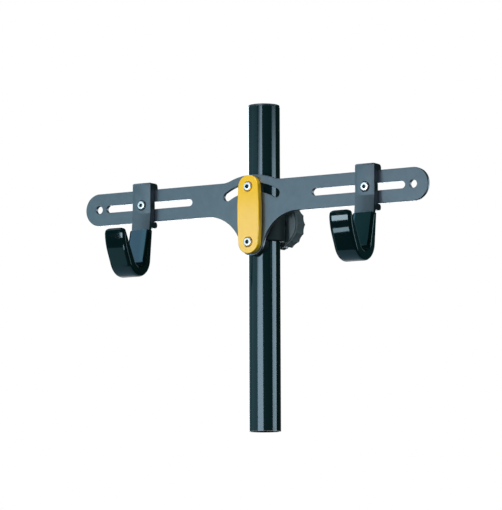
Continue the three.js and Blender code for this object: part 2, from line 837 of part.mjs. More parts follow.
function knobCap() {
  const back = -knobRear;
  return turnedAhead([
    [0, back],
    [capRadius - tipChamfer, back],
    [capRadius, back + tipChamfer],
    [capRadius, -boltHeadBack - seatGap],
    [0, -boltHeadBack - seatGap],
  ], 0, knobHeight);
}

function pressureShoe() {
  return rodAhead(shoeRadius, -shoeBack, -shoeFront, 0, knobHeight)
    .subtract(rodAhead(boltTipRadius + seatGap, -shoeBack - overrun, shoeSocketDepth - shoeBack, 0, knobHeight));
}

// The assembly.

const tower = new THREE.Group();

function piece(name, solid, finish, parent = tower) {
  const mesh = new THREE.Mesh(geometryOf(solid), new THREE.MeshStandardMaterial(finishes[finish]));
  mesh.name = name;
  parent.add(mesh);
}

function hook(side, reach) {
  const group = new THREE.Group();
  group.position.x = reach;
  tower.add(group);
  piece(`${side}_hook_bracket`, hookBracket(), 'greyBluePaint', group);
  piece(`${side}_hook_cover`, hookCover(), 'glossVinyl', group);
  piece(`${side}_hook_screw`, hookScrew(), 'zincSteel', group);
  piece(`${side}_hook_nut`, hookNut(), 'matteBlackCasting', group);
}

piece('mast_tube', mastTube(), 'glossBlackPaint');
piece('mast_plug', mastPlug(), 'blackNylon');
piece('clamp_liner', clampLiner(), 'blackNylon');
piece('clamp_body', clampBody(), 'matteBlackCasting');
piece('clamp_insert', insertNut(), 'brassInsert');
piece('link_plate', linkPlate(), 'yellowPaint');
piece('pivot_screw', linkScrew(pivotHeight), 'zincSteel');
piece('guide_screw', linkScrew(guideHeight), 'zincSteel');
piece('pivot_bush', pivotBush(), 'zincSteel');
piece('guide_bush', guideBush(), 'zincSteel');
piece('rear_friction_washer', frictionWasher(rearWasherBed), 'whiteNylon');
piece('front_friction_washer', frictionWasher(plateAhead + washerBedGap), 'whiteNylon');
piece('cross_arm', crossArm(), 'greyBluePaint');
hook('left', -slotMiddleReach - leftHookShift);
hook('right', slotMiddleReach + rightHookShift);
piece('pressure_shoe', pressureShoe(), 'brassInsert');
piece('knob', knob(), 'matteBlackCasting');
piece('knob_bolt', knobBolt(), 'zincSteel');
piece('knob_cap', knobCap(), 'blackNylon');

export default tower;
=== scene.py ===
"""Looks of the top section of a bike storage tower: mast, cross arm with two hooks, clamp and knob."""

import math

import bmesh
import bpy
from mathutils import Matrix, Vector


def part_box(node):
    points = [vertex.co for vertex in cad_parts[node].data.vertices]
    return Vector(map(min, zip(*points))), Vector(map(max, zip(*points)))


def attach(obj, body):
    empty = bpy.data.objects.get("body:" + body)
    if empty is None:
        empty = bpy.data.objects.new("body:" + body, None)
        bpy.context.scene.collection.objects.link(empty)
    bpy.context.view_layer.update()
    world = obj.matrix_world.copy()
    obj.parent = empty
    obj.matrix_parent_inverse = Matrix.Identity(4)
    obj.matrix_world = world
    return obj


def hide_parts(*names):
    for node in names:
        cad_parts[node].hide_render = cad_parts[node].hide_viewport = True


bl_info = {
    "name": "Bike storage tower",
    "version": (1, 0, 0),
    "blender": (4, 5, 0),
    "location": "View3D > Sidebar > Bike Tower",
    "description": "Builds the finished surfaces of a mast-mounted bike holder around its CAD frame",
    "category": "Object",
}

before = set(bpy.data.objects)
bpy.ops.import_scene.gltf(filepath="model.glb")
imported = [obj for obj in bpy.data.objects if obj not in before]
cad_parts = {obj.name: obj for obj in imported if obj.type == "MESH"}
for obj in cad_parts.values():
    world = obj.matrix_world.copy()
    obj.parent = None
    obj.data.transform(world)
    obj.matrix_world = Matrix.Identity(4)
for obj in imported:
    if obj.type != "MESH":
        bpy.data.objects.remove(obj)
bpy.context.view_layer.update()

MM = 0.001
FULL_TURN = math.tau


def linear(code, alpha=1.0):
    """An sRGB hex colour as linear red, green, blue and alpha."""
    shares = [int(code[i:i + 2], 16) / 255 for i in (1, 3, 5)]
    curve = [s / 12.92 if s <= 0.04045 else ((s + 0.055) / 1.055) ** 2.4 for s in shares]
    return (*curve, alpha)


def size(name, description, millimetres):
    """A length that a user can change, given in millimetres."""
    return bpy.props.FloatProperty(
        name=name, description=description, default=millimetres * MM,
        subtype="DISTANCE", unit="LENGTH", precision=5)


def turn(name, description, degrees):
    """An angle that a user can change, given in degrees."""
    return bpy.props.FloatProperty(
        name=name, description=description, default=math.radians(degrees), subtype="ANGLE", unit="ROTATION")


def paint(name, description, code):
    """A colour that a user can change."""
    return bpy.props.FloatVectorProperty(
        name=name, description=description, default=linear(code), subtype="COLOR", size=4, min=0, max=1)


def low(node, axis):
    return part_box(node)[0]["xyz".index(axis)]


def high(node, axis):
    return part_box(node)[1]["xyz".index(axis)]


# Sizes and colours that a user would change.

class MastSettings(bpy.types.PropertyGroup):
    wall: size("Wall", "Wall of the mast tube", 2.0)
    plug_wall: size("Plug wall", "Wall of the plug's top and spigot", 2.2)
    plug_edge: size("Plug edge", "Rounding of the plug's rim", 1.0)
    tube_gap: size("Tube gap", "Play between the plug's spigot and the tube", 0.15)
    metal: paint("Paint", "Gloss black tube", "#0d1f20")
    plug: paint("Plug", "Moulded plug", "#26353a")


class ArmSettings(bpy.types.PropertyGroup):
    edge: size("Edge", "Rounding of the plate's rim", 0.6)
    cut_edge: size("Cut edge", "Chamfer on slots and holes", 0.4)
    half_height: size("Half height", "Half the height of the arms", 19.4)
    hub_fillet: size("Hub fillet", "Fillet between the hub and the arms' upper edge", 30)
    throat_fillet: size("Throat fillet", "Fillet between the lobe and the arms' lower edge", 48)
    lobe_radius: size("Lobe radius", "Round lower end at the pivot", 15.4)
    end_hole_radius: size("End hole", "Radius of the hole at each end", 4.7)
    end_spacing: size("Slot to hole", "From the slot's outer round to the end hole", 15.1)
    slot_length: size("Slot length", "Between the round ends' centres", 114.7)
    slot_half_height: size("Slot half height", "Half the height of a long slot", 4.3)
    tilt_limit: turn("Tilt", "Reach of the arc slot to either side", 30.6)
    metal: paint("Metal", "Grey-blue painted steel", "#6c757d")


class HookSettings(bpy.types.PropertyGroup):
    half_width: size("Half width", "Half the width of the bracket", 13)
    edge: size("Edge", "Rounding of the bracket's sides", 0.7)
    corner_radius: size("Corner", "Round of the bracket's upper corners, seen from the front", 2.6)
    top_thickness: size("Top thickness", "Bracket above the arm", 7.5)
    front_thickness: size("Front thickness", "Bracket ahead of the arm", 8.75)
    lip_thickness: size("Lip", "Thickness of the lip behind the arm", 2.5)
    lip_low: size("Lip end", "Lower end of the lip above the arm's middle", 7.2)
    knee_drop: size("Knee drop", "Where the face turns into the strap, below the arm's middle", 10)
    join_drop: size("Strap join", "Where the strap straightens, below the arm's lower edge", 10.6)
    nose_radius: size("Nose radius", "Round nose under the arm", 3.9)
    nose_reach: size("Nose reach", "Reach of the nose under the arm", 6.8)
    bend_drop: size("Bend drop", "Centre of the hook's bend below the arm's lower edge", 45.9)
    bend_reach: size("Bend reach", "Centre of the bend ahead of the bracket's face", 24.4)
    strap_thickness: size("Strap", "Thickness of the strap", 4.4)
    strap_inner: size("Strap bend", "Inner radius of the strap's bend", 15.2)
    strap_rear_lean: turn("Rear lean", "Lean of the strap's rear leg", 10.8)
    strap_front_lean: turn("Front lean", "Lean of the strap's front leg", 24.7)
    strap_tip_drop: size("Strap tip", "Strap's tip below the arm's lower edge", 26.1)
    screw_recess: size("Screw recess", "Depth of the round recess under the screw's head", 1.5)
    cover_half_width: size("Cover half width", "Half the width of the soft cover", 14.6)
    cover_edge: size("Cover edge", "Rounding of the cover's sides", 2.4)
    cover_top_drop: size("Cover top", "Cover's upper end below the arm's lower edge", 10.8)
    cover_inner: size("Cover inner bend", "Inner radius of the cover's bend", 11.3)
    cover_outer: size("Cover outer bend", "Outer radius of the cover's bend", 23.7)
    cover_tip_drop: size("Cover tip", "Cover's tip below the arm's lower edge", 13.8)
    cover_tip_reach: size("Tip reach", "Front of the tip ahead of the bend's centre", 34.1)
    cover_tip: size("Tip thickness", "Thickness of the cover's tip", 6)
    cover_camber: size("Camber", "How far the cover's rounded sides reach over its width", 4.5)
    tip_rounding: size("Tip rounding", "Height over which the tip's upper corners draw in", 7)
    tip_narrowing: bpy.props.FloatProperty(
        name="Tip narrowing", description="Share of its width by which the tip draws in at the top",
        default=0.3)
    metal: paint("Metal", "Grey-blue painted casting", "#6c757d")
    vinyl: paint("Vinyl", "Glossy dipped cover", "#0c2526")


class LinkSettings(bpy.types.PropertyGroup):
    end_radius: size("End radius", "Round ends of the link plate", 13.6)
    half_waist: size("Half waist", "Half the width at the middle", 15)
    edge: size("Edge", "Rounding of the rim", 0.9)
    recess: size("Recess", "Depth of the round recess under a head", 1.2)
    metal: paint("Paint", "Yellow enamel", "#ffcb24")


class ScrewSettings(bpy.types.PropertyGroup):
    shank: size("Shank", "Radius of the shank", 3)
    head: size("Head", "Radius of the domed head", 5.25)
    head_height: size("Head height", "Height of the head", 3.3)
    rim: size("Rim", "Straight rim of the head", 0.7)
    crown: size("Crown", "Flat top of the dome", 4.3)
    socket: size("Socket", "Half the width across flats", 2)
    socket_depth: size("Socket depth", "Depth of the hexagon socket", 2.2)
    recess_gap: size("Recess gap", "Play round the head in its recess", 0.85)
    relief: size("Relief", "Depth of the ring round the head below its seat", 1.8)
    socket_bevel: size("Socket bevel", "Chamfer round the socket", 0.45)
    metal: paint("Metal", "Bright zinc", "#f0f2f4")


class ClampSettings(bpy.types.PropertyGroup):
    wall: size("Wall", "Wall of the collar", 3.3)
    bore: size("Bore", "Radius of the collar's bore", 21.35)
    collar_high: size("Collar top", "Top of the collar above the knob's axis", 24.2)
    pad_radius: size("Pad", "Round pad behind the pivot screw", 14.8)
    bar_radius: size("Bar", "Round upper end at the guide screw", 9.5)
    depth: size("Carrier depth", "Depth of the carrier behind its face", 10.8)
    mast_gap: size("Mast gap", "Play between the carrier and the mast", 0.45)
    boss_radius: size("Boss", "Radius of the rear boss", 12.5)
    cheek_behind: size("Cheeks", "How far the cheeks reach behind the axis", 25)
    cheek_half_width: size("Cheek width", "Half the width at the cheeks' rear end", 14)
    cheek_high: size("Cheek top", "Top of the cheeks above the knob's axis", 15.8)
    cheek_front_low: size("Cheek front", "Lower edge in front, below the knob's axis", 21.2)
    cheek_rear_low: size("Cheek rear", "Lower edge behind, below the knob's axis", 9.2)
    edge: size("Edge", "Rounding of the casting's rims", 0.8)
    metal: paint("Metal", "Matt black casting", "#0e2022")


class KnobSettings(bpy.types.PropertyGroup):
    lobes: bpy.props.IntProperty(name="Lobes", description="Grip ridges round the knob", default=16, min=6)
    lobe_depth: size("Lobe depth", "Depth of a scallop", 1.5)
    edge: size("Edge", "Rounding of the rim", 0.8)
    flange: size("Flange", "Thickness of the front flange", 2.2)
    groove: size("Groove", "Width of the groove near the flange's rim", 1.7)
    groove_depth: size("Groove depth", "Depth of the groove near the flange's rim", 3.0)
    lip: size("Lip", "Flat lip outside the groove", 0.4)
    recess_radius: size("Recess", "Radius of the recess over the boss", 13.2)
    recess_depth: size("Recess depth", "Depth of the recess over the boss", 8)
    dish_radius: size("Dish", "Outer radius of the rear dish", 21)
    dish_depth: size("Dish depth", "Depth of the rear dish", 3)
    hub_radius: size("Hub", "Radius of the rear hub", 11)
    plastic: paint("Plastic", "Glass-filled nylon", "#4f5a5e")


class StudioSettings(bpy.types.PropertyGroup):
    floor_drop: size("Floor drop", "Floor below the mast's cut end", 1000)
    wall_distance: size("Wall distance", "White wall behind the object", 6000)
    floor: paint("Floor", "Pale studio floor", "#f0f2f2")


SETTINGS = {
    "tower_mast": MastSettings,
    "tower_arm": ArmSettings,
    "tower_hook": HookSettings,
    "tower_link": LinkSettings,
    "tower_screw": ScrewSettings,
    "tower_clamp": ClampSettings,
    "tower_knob": KnobSettings,
    "tower_studio": StudioSettings,
}


def settings(name):
    return getattr(bpy.context.scene, "tower_" + name)


# Places shared by several pieces, from the frame. Distances "ahead" are towards -Y.

ARM_FACE = -low("cross_arm", "y")
ARM_REAR = -high("cross_arm", "y")
ARM_REACH = high("cross_arm", "x")
HUB_TOP = high("cross_arm", "z")
LINK_FACE = -low("link_plate", "y")
LINK_BACK = -high("link_plate", "y")
MAST_RADIUS = high("mast_tube", "x")
MAST_TOP = high("mast_plug", "z")
PIVOT_HEIGHT = (low("pivot_bush", "z") + high("pivot_bush", "z")) / 2
GUIDE_HEIGHT = (low("guide_bush", "z") + high("guide_bush", "z")) / 2
GUIDE_RADIUS = GUIDE_HEIGHT - PIVOT_HEIGHT
BUSH_RADIUS = (high("pivot_bush", "x") - low("pivot_bush", "x")) / 2
ARM_HEIGHT = (low("left_hook_nut", "z") + high("left_hook_nut", "z")) / 2
KNOB_HEIGHT = (low("knob", "z") + high("knob", "z")) / 2
HOOK_REACH = {side: (low(f"{side}_hook_cover", "x") + high(f"{side}_hook_cover", "x")) / 2
              for side in ("left", "right")}
FACE_GAP = 0.05 * MM
SEAT_GAP = 0.15 * MM
RUNNING_GAP = 0.2 * MM
SLOT_GAP = 0.3 * MM
SCREW_HOLE_GAP = 0.25 * MM
HEAD_MARGIN = 0.2 * MM
OVERRUN = 1.5 * MM

# Smoothness of round shapes, and the flat margin beside a rounded rim that keeps big faces flat.
ARC_STEP = math.radians(4)
EDGE_STEPS = 4
HOLD = 0.25 * MM
CRISP = 0.01 * MM
SHARP = math.radians(31)
WELD = 0.002 * MM


# Drawing outlines: a pen moves one vertex on, by extruding it for a line and spinning it for an arc.

class Pen:
    def __init__(self, mesh, origin, across, up):
        self.mesh, self.origin = mesh, Vector(origin)
        self.across, self.up = Vector(across), Vector(up)
        self.axis = self.across.cross(self.up)
        self.tip, self.verts = None, []

    def place(self, u, v):
        return self.origin + self.across * u + self.up * v

    def line(self, u, v):
        if self.tip is None:
            self.tip = self.mesh.verts.new(self.place(u, v))
            self.verts.append(self.tip)
            return
        if (self.place(u, v) - self.tip.co).length < WELD:
            return
        grown = bmesh.ops.extrude_vert_indiv(self.mesh, verts=[self.tip])
        self.tip = grown["verts"][0]
        self.tip.co = self.place(u, v)
        self.verts.append(self.tip)

    def arc(self, u, v, angle, step=ARC_STEP):
        spun = bmesh.ops.spin(
            self.mesh, geom=[self.tip], cent=self.place(u, v), axis=self.axis, angle=angle,
            steps=max(2, math.ceil(abs(angle) / step)), use_duplicate=False)
        self.tip = next(g for g in spun["geom_last"] if isinstance(g, bmesh.types.BMVert))
        self.verts.append(self.tip)

    def arc_about(self, u, v, radius, start, end):
        """An arc given by its centre, radius and the two directions, in degrees."""
        self.line(u + radius * math.cos(math.radians(start)), v + radius * math.sin(math.radians(start)))
        self.arc(u, v, math.radians(end - start))

    def close(self):
        """Welds the end to the start and fills the outline with one face."""
        bmesh.ops.remove_doubles(self.mesh, verts=self.mesh.verts[:], dist=WELD)
        filled = bmesh.ops.contextual_create(self.mesh, geom=[e for e in self.mesh.edges if e.is_wire])
        return filled["faces"][0]


def front_pen(mesh, ahead):
    """Draws as seen from the front: x to the right and height."""
    return Pen(mesh, (0, -ahead, 0), (1, 0, 0), (0, 0, 1))


def side_pen(mesh, x):
    """Draws as seen from the left side: distance ahead and height."""
    return Pen(mesh, (x, 0, 0), (0, -1, 0), (0, 0, 1))


def rounded(pen, corners):
    """Draws a closed polygon whose corners (u, v, radius) are rounded as far as their sides allow."""
    found = []
    for i, (u, v, radius) in enumerate(corners):
        here = Vector((u, v))
        back = Vector(corners[i - 1][:2]) - here
        on = Vector(corners[(i + 1) % len(corners)][:2]) - here
        half = back.angle(on) / 2
        found.append([here, back.normalized(), on.normalized(), half, radius / math.tan(half), on.length])
    shares = [1.0] * len(found)
    for i, corner in enumerate(found):
        after = (i + 1) % len(found)
        room = corner[5] / max(corner[4] + found[after][4], WELD)
        shares[i], shares[after] = min(shares[i], room), min(shares[after], room)
    for (here, back, on, half, reach, _), share in zip(found, shares):
        reach *= share
        start = here + back * reach
        pen.line(*start)
        if reach > WELD:
            middle = here + (back + on).normalized() * reach / math.cos(half)
            side = 1 if back.cross(on) < 0 else -1
            pen.arc(*middle, side * (math.pi - 2 * half))
    return pen.close()


# Solids.

def drawn_out(mesh, face, way):
    """Extrudes a flat face by a vector, with all faces outwards, and returns the two end faces."""
    grown = bmesh.ops.extrude_face_region(mesh, geom=[face])["geom"]
    far = next(g for g in grown if isinstance(g, bmesh.types.BMFace))
    bmesh.ops.translate(mesh, vec=way, verts=far.verts)
    bmesh.ops.recalc_face_normals(mesh, faces=mesh.faces[:])
    return face, far


def slab(mesh, face, direction, thickness, edge, steps=EDGE_STEPS, rise=None):
    """Makes a flat outline a plate with rounded rims, on from the outline in the given direction.
    The rims reach in by edge, and by rise along the direction, which is the same if not given."""
    direction, rise = Vector(direction), edge if rise is None else rise
    bmesh.ops.translate(mesh, vec=direction * rise, verts=face.verts)
    for end in drawn_out(mesh, face, direction * (thickness - 2 * rise)):
        round_rim(mesh, end, edge, rise, steps)
    return mesh


def round_rim(mesh, face, edge, rise, steps):
    """Insets a flat face step by step, so that its rim becomes a quarter round with a flat margin."""
    inward = upward = 0
    for step in range(1, steps + 1):
        angle = math.pi / 2 * step / steps
        next_in, next_up = edge * (1 - math.cos(angle)), rise * math.sin(angle)
        bmesh.ops.inset_region(mesh, faces=[face], thickness=next_in - inward, depth=next_up - upward,
                               use_even_offset=True, use_boundary=True)
        inward, upward = next_in, next_up
    bmesh.ops.inset_region(mesh, faces=[face], thickness=HOLD, depth=0,
                           use_even_offset=True, use_boundary=True)


def turned(profile, centre, axis, across, steps=96):
    """Spins a profile of (radius, distance along the axis) once round the axis."""
    mesh = bmesh.new()
    pen = Pen(mesh, centre, across, axis)
    for radius, along in profile:
        pen.line(radius, along)
    edges = mesh.edges[:]
    bmesh.ops.spin(mesh, geom=mesh.verts[:] + edges, cent=centre, axis=axis, angle=FULL_TURN,
                   steps=steps, use_merge=True, use_duplicate=False)
    bmesh.ops.remove_doubles(mesh, verts=mesh.verts[:], dist=WELD)
    bmesh.ops.recalc_face_normals(mesh, faces=mesh.faces[:])
    return mesh


def turned_ahead(profile, x, z, steps=64):
    """Spins a profile of (radius, distance ahead) round an axis that points ahead."""
    return turned(profile, (x, 0, z), (0, -1, 0), (1, 0, 0), steps)


def turned_up(profile, steps=128):
    """Spins a profile of (radius, height) round the mast's axis."""
    return turned(profile, (0, 0, 0), (0, 0, 1), (1, 0, 0), steps)


def softened(profile, edge, steps=EDGE_STEPS):
    """Rounds the corners of a profile for spinning, and adds the flat margin beside each round."""
    corners = [Vector(p) for p in profile]
    points = []
    for i, here in enumerate(corners):
        if i in (0, len(corners) - 1):
            points.append(tuple(here))
            continue
        back, on = corners[i - 1] - here, corners[i + 1] - here
        reach = min(edge, back.length / 2 - HOLD / 2, on.length / 2 - HOLD / 2)
        if reach < WELD:
            points.append(tuple(here))
            continue
        back, on = back.normalized(), on.normalized()
        points.append(tuple(here + back * (reach + HOLD / 2)))
        for step in range(steps + 1):
            share = step / steps
            points.append(tuple(here + back * reach * (1 - share) ** 2 + on * reach * share ** 2))
        points.append(tuple(here + on * (reach + HOLD / 2)))
    return points


def boolean(mesh, others, operation):
    """Joins or cuts a mesh with other meshes, all of them bmesh, and gives the result as a bmesh."""
    base = bpy.data.objects.new("base", bpy.data.meshes.new("base"))
    mesh.to_mesh(base.data)
    mesh.free()
    bpy.context.scene.collection.objects.link(base)
    helpers = []
    for other in others:
        helper = bpy.data.objects.new("cutter", bpy.data.meshes.new("cutter"))
        other.to_mesh(helper.data)
        other.free()
        bpy.context.scene.collection.objects.link(helper)
        helpers.append(helper)
        modifier = base.modifiers.new("cut", "BOOLEAN")
        modifier.operation, modifier.solver, modifier.object = operation, "EXACT", helper
    result = bmesh.new()
    result.from_object(base, bpy.context.evaluated_depsgraph_get())
    for helper in [base, *helpers]:
        data = helper.data
        bpy.data.objects.remove(helper)
        bpy.data.meshes.remove(data)
    return result


def cut(mesh, *others):
    return boolean(mesh, others, "DIFFERENCE")


def joined(mesh, *others):
    return boolean(mesh, others, "UNION")


def stood(name, data):
    """A new object in the scene that shows the given mesh, lamp or camera."""
    item = bpy.data.objects.new(name, data)
    bpy.context.scene.collection.objects.link(item)
    return item


def finished(name, mesh, materials, body, slot, *nodes, sharp=SHARP):
    """Makes a bmesh a smooth shaded piece that rides on a body and stands for its CAD nodes."""
    bmesh.ops.remove_doubles(mesh, verts=mesh.verts[:], dist=WELD)
    bmesh.ops.dissolve_degenerate(mesh, edges=mesh.edges[:], dist=WELD)
    bmesh.ops.recalc_face_normals(mesh, faces=mesh.faces[:])
    for face in mesh.faces:
        face.smooth = True
    for edge in mesh.edges:
        edge.smooth = not (edge.is_manifold and edge.calc_face_angle() > sharp)
    data = bpy.data.meshes.new(name)
    mesh.to_mesh(data)
    mesh.free()
    for material in materials if isinstance(materials, tuple) else (materials,):
        data.materials.append(material)
    piece = stood(name, data)
    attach(piece, body)
    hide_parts(*nodes)
    return piece


# Materials. Their noise mostly lies between NOISE_LOW and NOISE_HIGH.

NOISE_LOW, NOISE_HIGH = 0.35, 0.65


def add(tree, kind, links=None, **values):
    """Adds a node, sets its properties and sockets by name, and links its inputs."""
    node = tree.nodes.new(kind)
    for name, value in values.items():
        if hasattr(node, name):
            setattr(node, name, value)
        else:
            node.inputs[name.replace("_", " ")].default_value = value
    for name, source in (links or {}).items():
        tree.links.new(source, node.inputs[name])
    return node


def finish(name, colour, metallic, roughness, spread=None, mottle=None, peel=None, **more):
    """A material named for a real finish, made once. Noise moves its values as far as is given:
    spread is (pitch, lowest, highest) for the roughness, mottle (pitch, share) for the colour and
    peel (pitch, detail, height) for the relief, with pitch and height in millimetres."""
    material = bpy.data.materials.get(name)
    if material:
        return material
    material = bpy.data.materials.new(name)
    material.use_nodes = True
    tree = material.node_tree
    shader = tree.nodes["Principled BSDF"]
    values = {"Base_Color": colour, "Metallic": metallic, "Roughness": roughness, **more}
    for key, value in values.items():
        shader.inputs[key.replace("_", " ")].default_value = value
    place = add(tree, "ShaderNodeTexCoord").outputs["Object"]
    if spread:
        pitch, lowest, highest = spread
        noise = add(tree, "ShaderNodeTexNoise", {"Vector": place}, Scale=1 / (pitch * MM), Detail=3.0)
        ramp = add(tree, "ShaderNodeMapRange", {"Value": noise.outputs["Fac"]},
                   From_Min=NOISE_LOW, From_Max=NOISE_HIGH, To_Min=lowest, To_Max=highest)
        tree.links.new(ramp.outputs["Result"], shader.inputs["Roughness"])
    if mottle:
        pitch, share = mottle
        noise = add(tree, "ShaderNodeTexNoise", {"Vector": place}, Scale=1 / (pitch * MM), Detail=3.0)
        ramp = add(tree, "ShaderNodeValToRGB", {"Fac": noise.outputs["Fac"]})
        stops = zip(ramp.color_ramp.elements, (1 - share, 1 + share), (NOISE_LOW, NOISE_HIGH))
        for stop, factor, position in stops:
            stop.color = (*[min(1.0, c * factor) for c in colour[:3]], 1)
            stop.position = position
        tree.links.new(ramp.outputs["Color"], shader.inputs["Base Color"])
    if peel:
        pitch, detail, height = peel
        noise = add(tree, "ShaderNodeTexNoise", {"Vector": place}, Scale=1 / (pitch * MM), Detail=detail)
        bump = add(tree, "ShaderNodeBump", {"Height": noise.outputs["Fac"]},
                   Distance=height * MM, Strength=1.0)
        tree.links.new(bump.outputs["Normal"], shader.inputs["Normal"])
    return material


def black_gloss_powder():
    """Gloss black powder coat on steel tube: a deep black mirror that shows the softboxes as clean bands."""
    return finish("gloss_black_powder_coat", tuple(settings("mast").metal), 0.0, 0.1,
                  spread=(3, 0.08, 0.12), mottle=(18, 0.03), peel=(4, 1.0, 0.006),
                  IOR=1.46, Specular_Tint=(0.68, 0.86, 1.0, 1.0))


def satin_paint(name, colour):
    """Grey-blue metallic baked enamel: a satin sheen over metal flake, slightly uneven like all spray."""
    return finish(name, tuple(colour), 0.9, 0.34,
                  spread=(3, 0.31, 0.37), mottle=(9, 0.035), peel=(0.5, 2.0, 0.012))


def yellow_enamel():
    """Yellow enamel with a clear lacquer: a warm flat colour under a soft gloss."""
    return finish("yellow_gloss_enamel", tuple(settings("link").metal), 0.0, 0.4,
                  mottle=(7, 0.02), peel=(0.8, 2.0, 0.01),
                  Specular_IOR_Level=0.15, Coat_Weight=1.0, Coat_Roughness=0.12)


def dipped_vinyl():
    """Hot-dipped soft vinyl: deep gloss black with the slow waves of a dipped coat."""
    return finish("gloss_black_dipped_vinyl", tuple(settings("hook").vinyl), 0.0, 0.1,
                  spread=(4, 0.05, 0.09), peel=(12, 1.0, 0.008),
                  IOR=1.52, Specular_Tint=(0.7, 0.92, 1.0, 1.0))


def black_casting():
    """Tumbled and painted zinc casting: matt black with a fine orange peel."""
    return finish("matt_black_painted_casting", tuple(settings("clamp").metal), 0.0, 0.6,
                  mottle=(6, 0.06), peel=(0.5, 3.0, 0.03), Specular_IOR_Level=0.3)


def moulded_nylon(name, colour, roughness):
    """Moulded nylon or acetal: an even dull skin with spark-eroded texture."""
    return finish(name, colour, 0.0, roughness, spread=(2, roughness - 0.05, roughness + 0.05),
                  mottle=(3, 0.05), peel=(0.4, 3.0, 0.02))


def bare_metal(name, colour, roughness):
    """Plated or machined metal: bright, with fine marks that spread the highlight."""
    return finish(name, colour, 1.0, roughness, spread=(0.6, roughness - 0.05, roughness + 0.08),
                  mottle=(2, 0.04))


def bright_zinc():
    """Bright zinc plating on steel: a clean silvery highlight, a little broken up."""
    return bare_metal("bright_zinc_plated_steel", tuple(settings("screw").metal), 0.38)


def painted_socket_shade():
    """Painted shade: darker zinc on the walls of the hexagon socket, standing in for the shade inside it."""
    return bare_metal("dull_zinc_in_the_socket", linear("#3a4448"), 0.35)


# Pieces.

class TOWER_OT_mast(bpy.types.Operator):
    """Makes the mast tube and the plug that closes it"""
    bl_idname = "tower.mast"
    bl_label = "Mast"

    def execute(self, context):
        sizes = settings("mast")
        bore = MAST_RADIUS - sizes.wall
        joint = high("mast_tube", "z")
        tube = turned_up([(bore, 0), (MAST_RADIUS, 0), (MAST_RADIUS, joint), (bore, joint), (bore, 0)])
        finished("mast_tube_surface", tube, black_gloss_powder(), "mast", "gloss_black_paint", "mast_tube")
        spigot = bore - sizes.tube_gap
        inner = spigot - sizes.plug_wall
        foot = low("mast_plug", "z")
        plug = turned_up([
            (0, MAST_TOP - sizes.plug_wall), (inner, MAST_TOP - sizes.plug_wall),
            (inner, foot), (spigot, foot),
            (spigot, joint), *softened([(spigot, joint), (MAST_RADIUS, joint), (MAST_RADIUS, MAST_TOP),
                                        (0, MAST_TOP)], sizes.plug_edge)[1:]])
        skin = moulded_nylon("black_moulded_plug", tuple(sizes.plug), 0.35)
        finished("mast_plug_surface", plug, skin, "mast", "black_nylon", "mast_plug")
        return {"FINISHED"}


def soft_rod(radius, start, end, edge, z, steps=64):
    """A rod on the middle plane that points ahead from start to end, with rounded ends."""
    profile = [(0, start), (radius, start), (radius, end), (0, end)]
    return turned_ahead(softened(profile, edge), 0, z, steps)


def drilled(radius, start, end, z, steps=64):
    """A rod on the middle plane that points ahead from start to end, for cutting a hole."""
    return turned_ahead([(0, start), (radius, start), (radius, end), (0, end)], 0, z, steps)


def hole_cutter(radius, x, z, front, back, chamfer):
    """A round cutter through a plate, opened out a little at both faces."""
    return turned_ahead([
        (0, back - OVERRUN), (radius + chamfer + OVERRUN, back - OVERRUN), (radius, back + chamfer),
        (radius, front - chamfer), (radius + chamfer + OVERRUN, front + OVERRUN), (0, front + OVERRUN)], x, z)


def slot_cutter(draw, front, back, chamfer):
    """A cutter with a drawn outline, opened out a little at both faces."""
    mesh = bmesh.new()
    face = draw(front_pen(mesh, back + chamfer))
    widen = chamfer + OVERRUN
    for end in drawn_out(mesh, face, (0, -(front - back - 2 * chamfer), 0)):
        bmesh.ops.inset_region(mesh, faces=[end], thickness=WELD, depth=0, use_even_offset=True)
        bmesh.ops.inset_region(mesh, faces=[end], thickness=-widen - WELD, depth=widen,
                               use_even_offset=True, use_boundary=True)
    return mesh


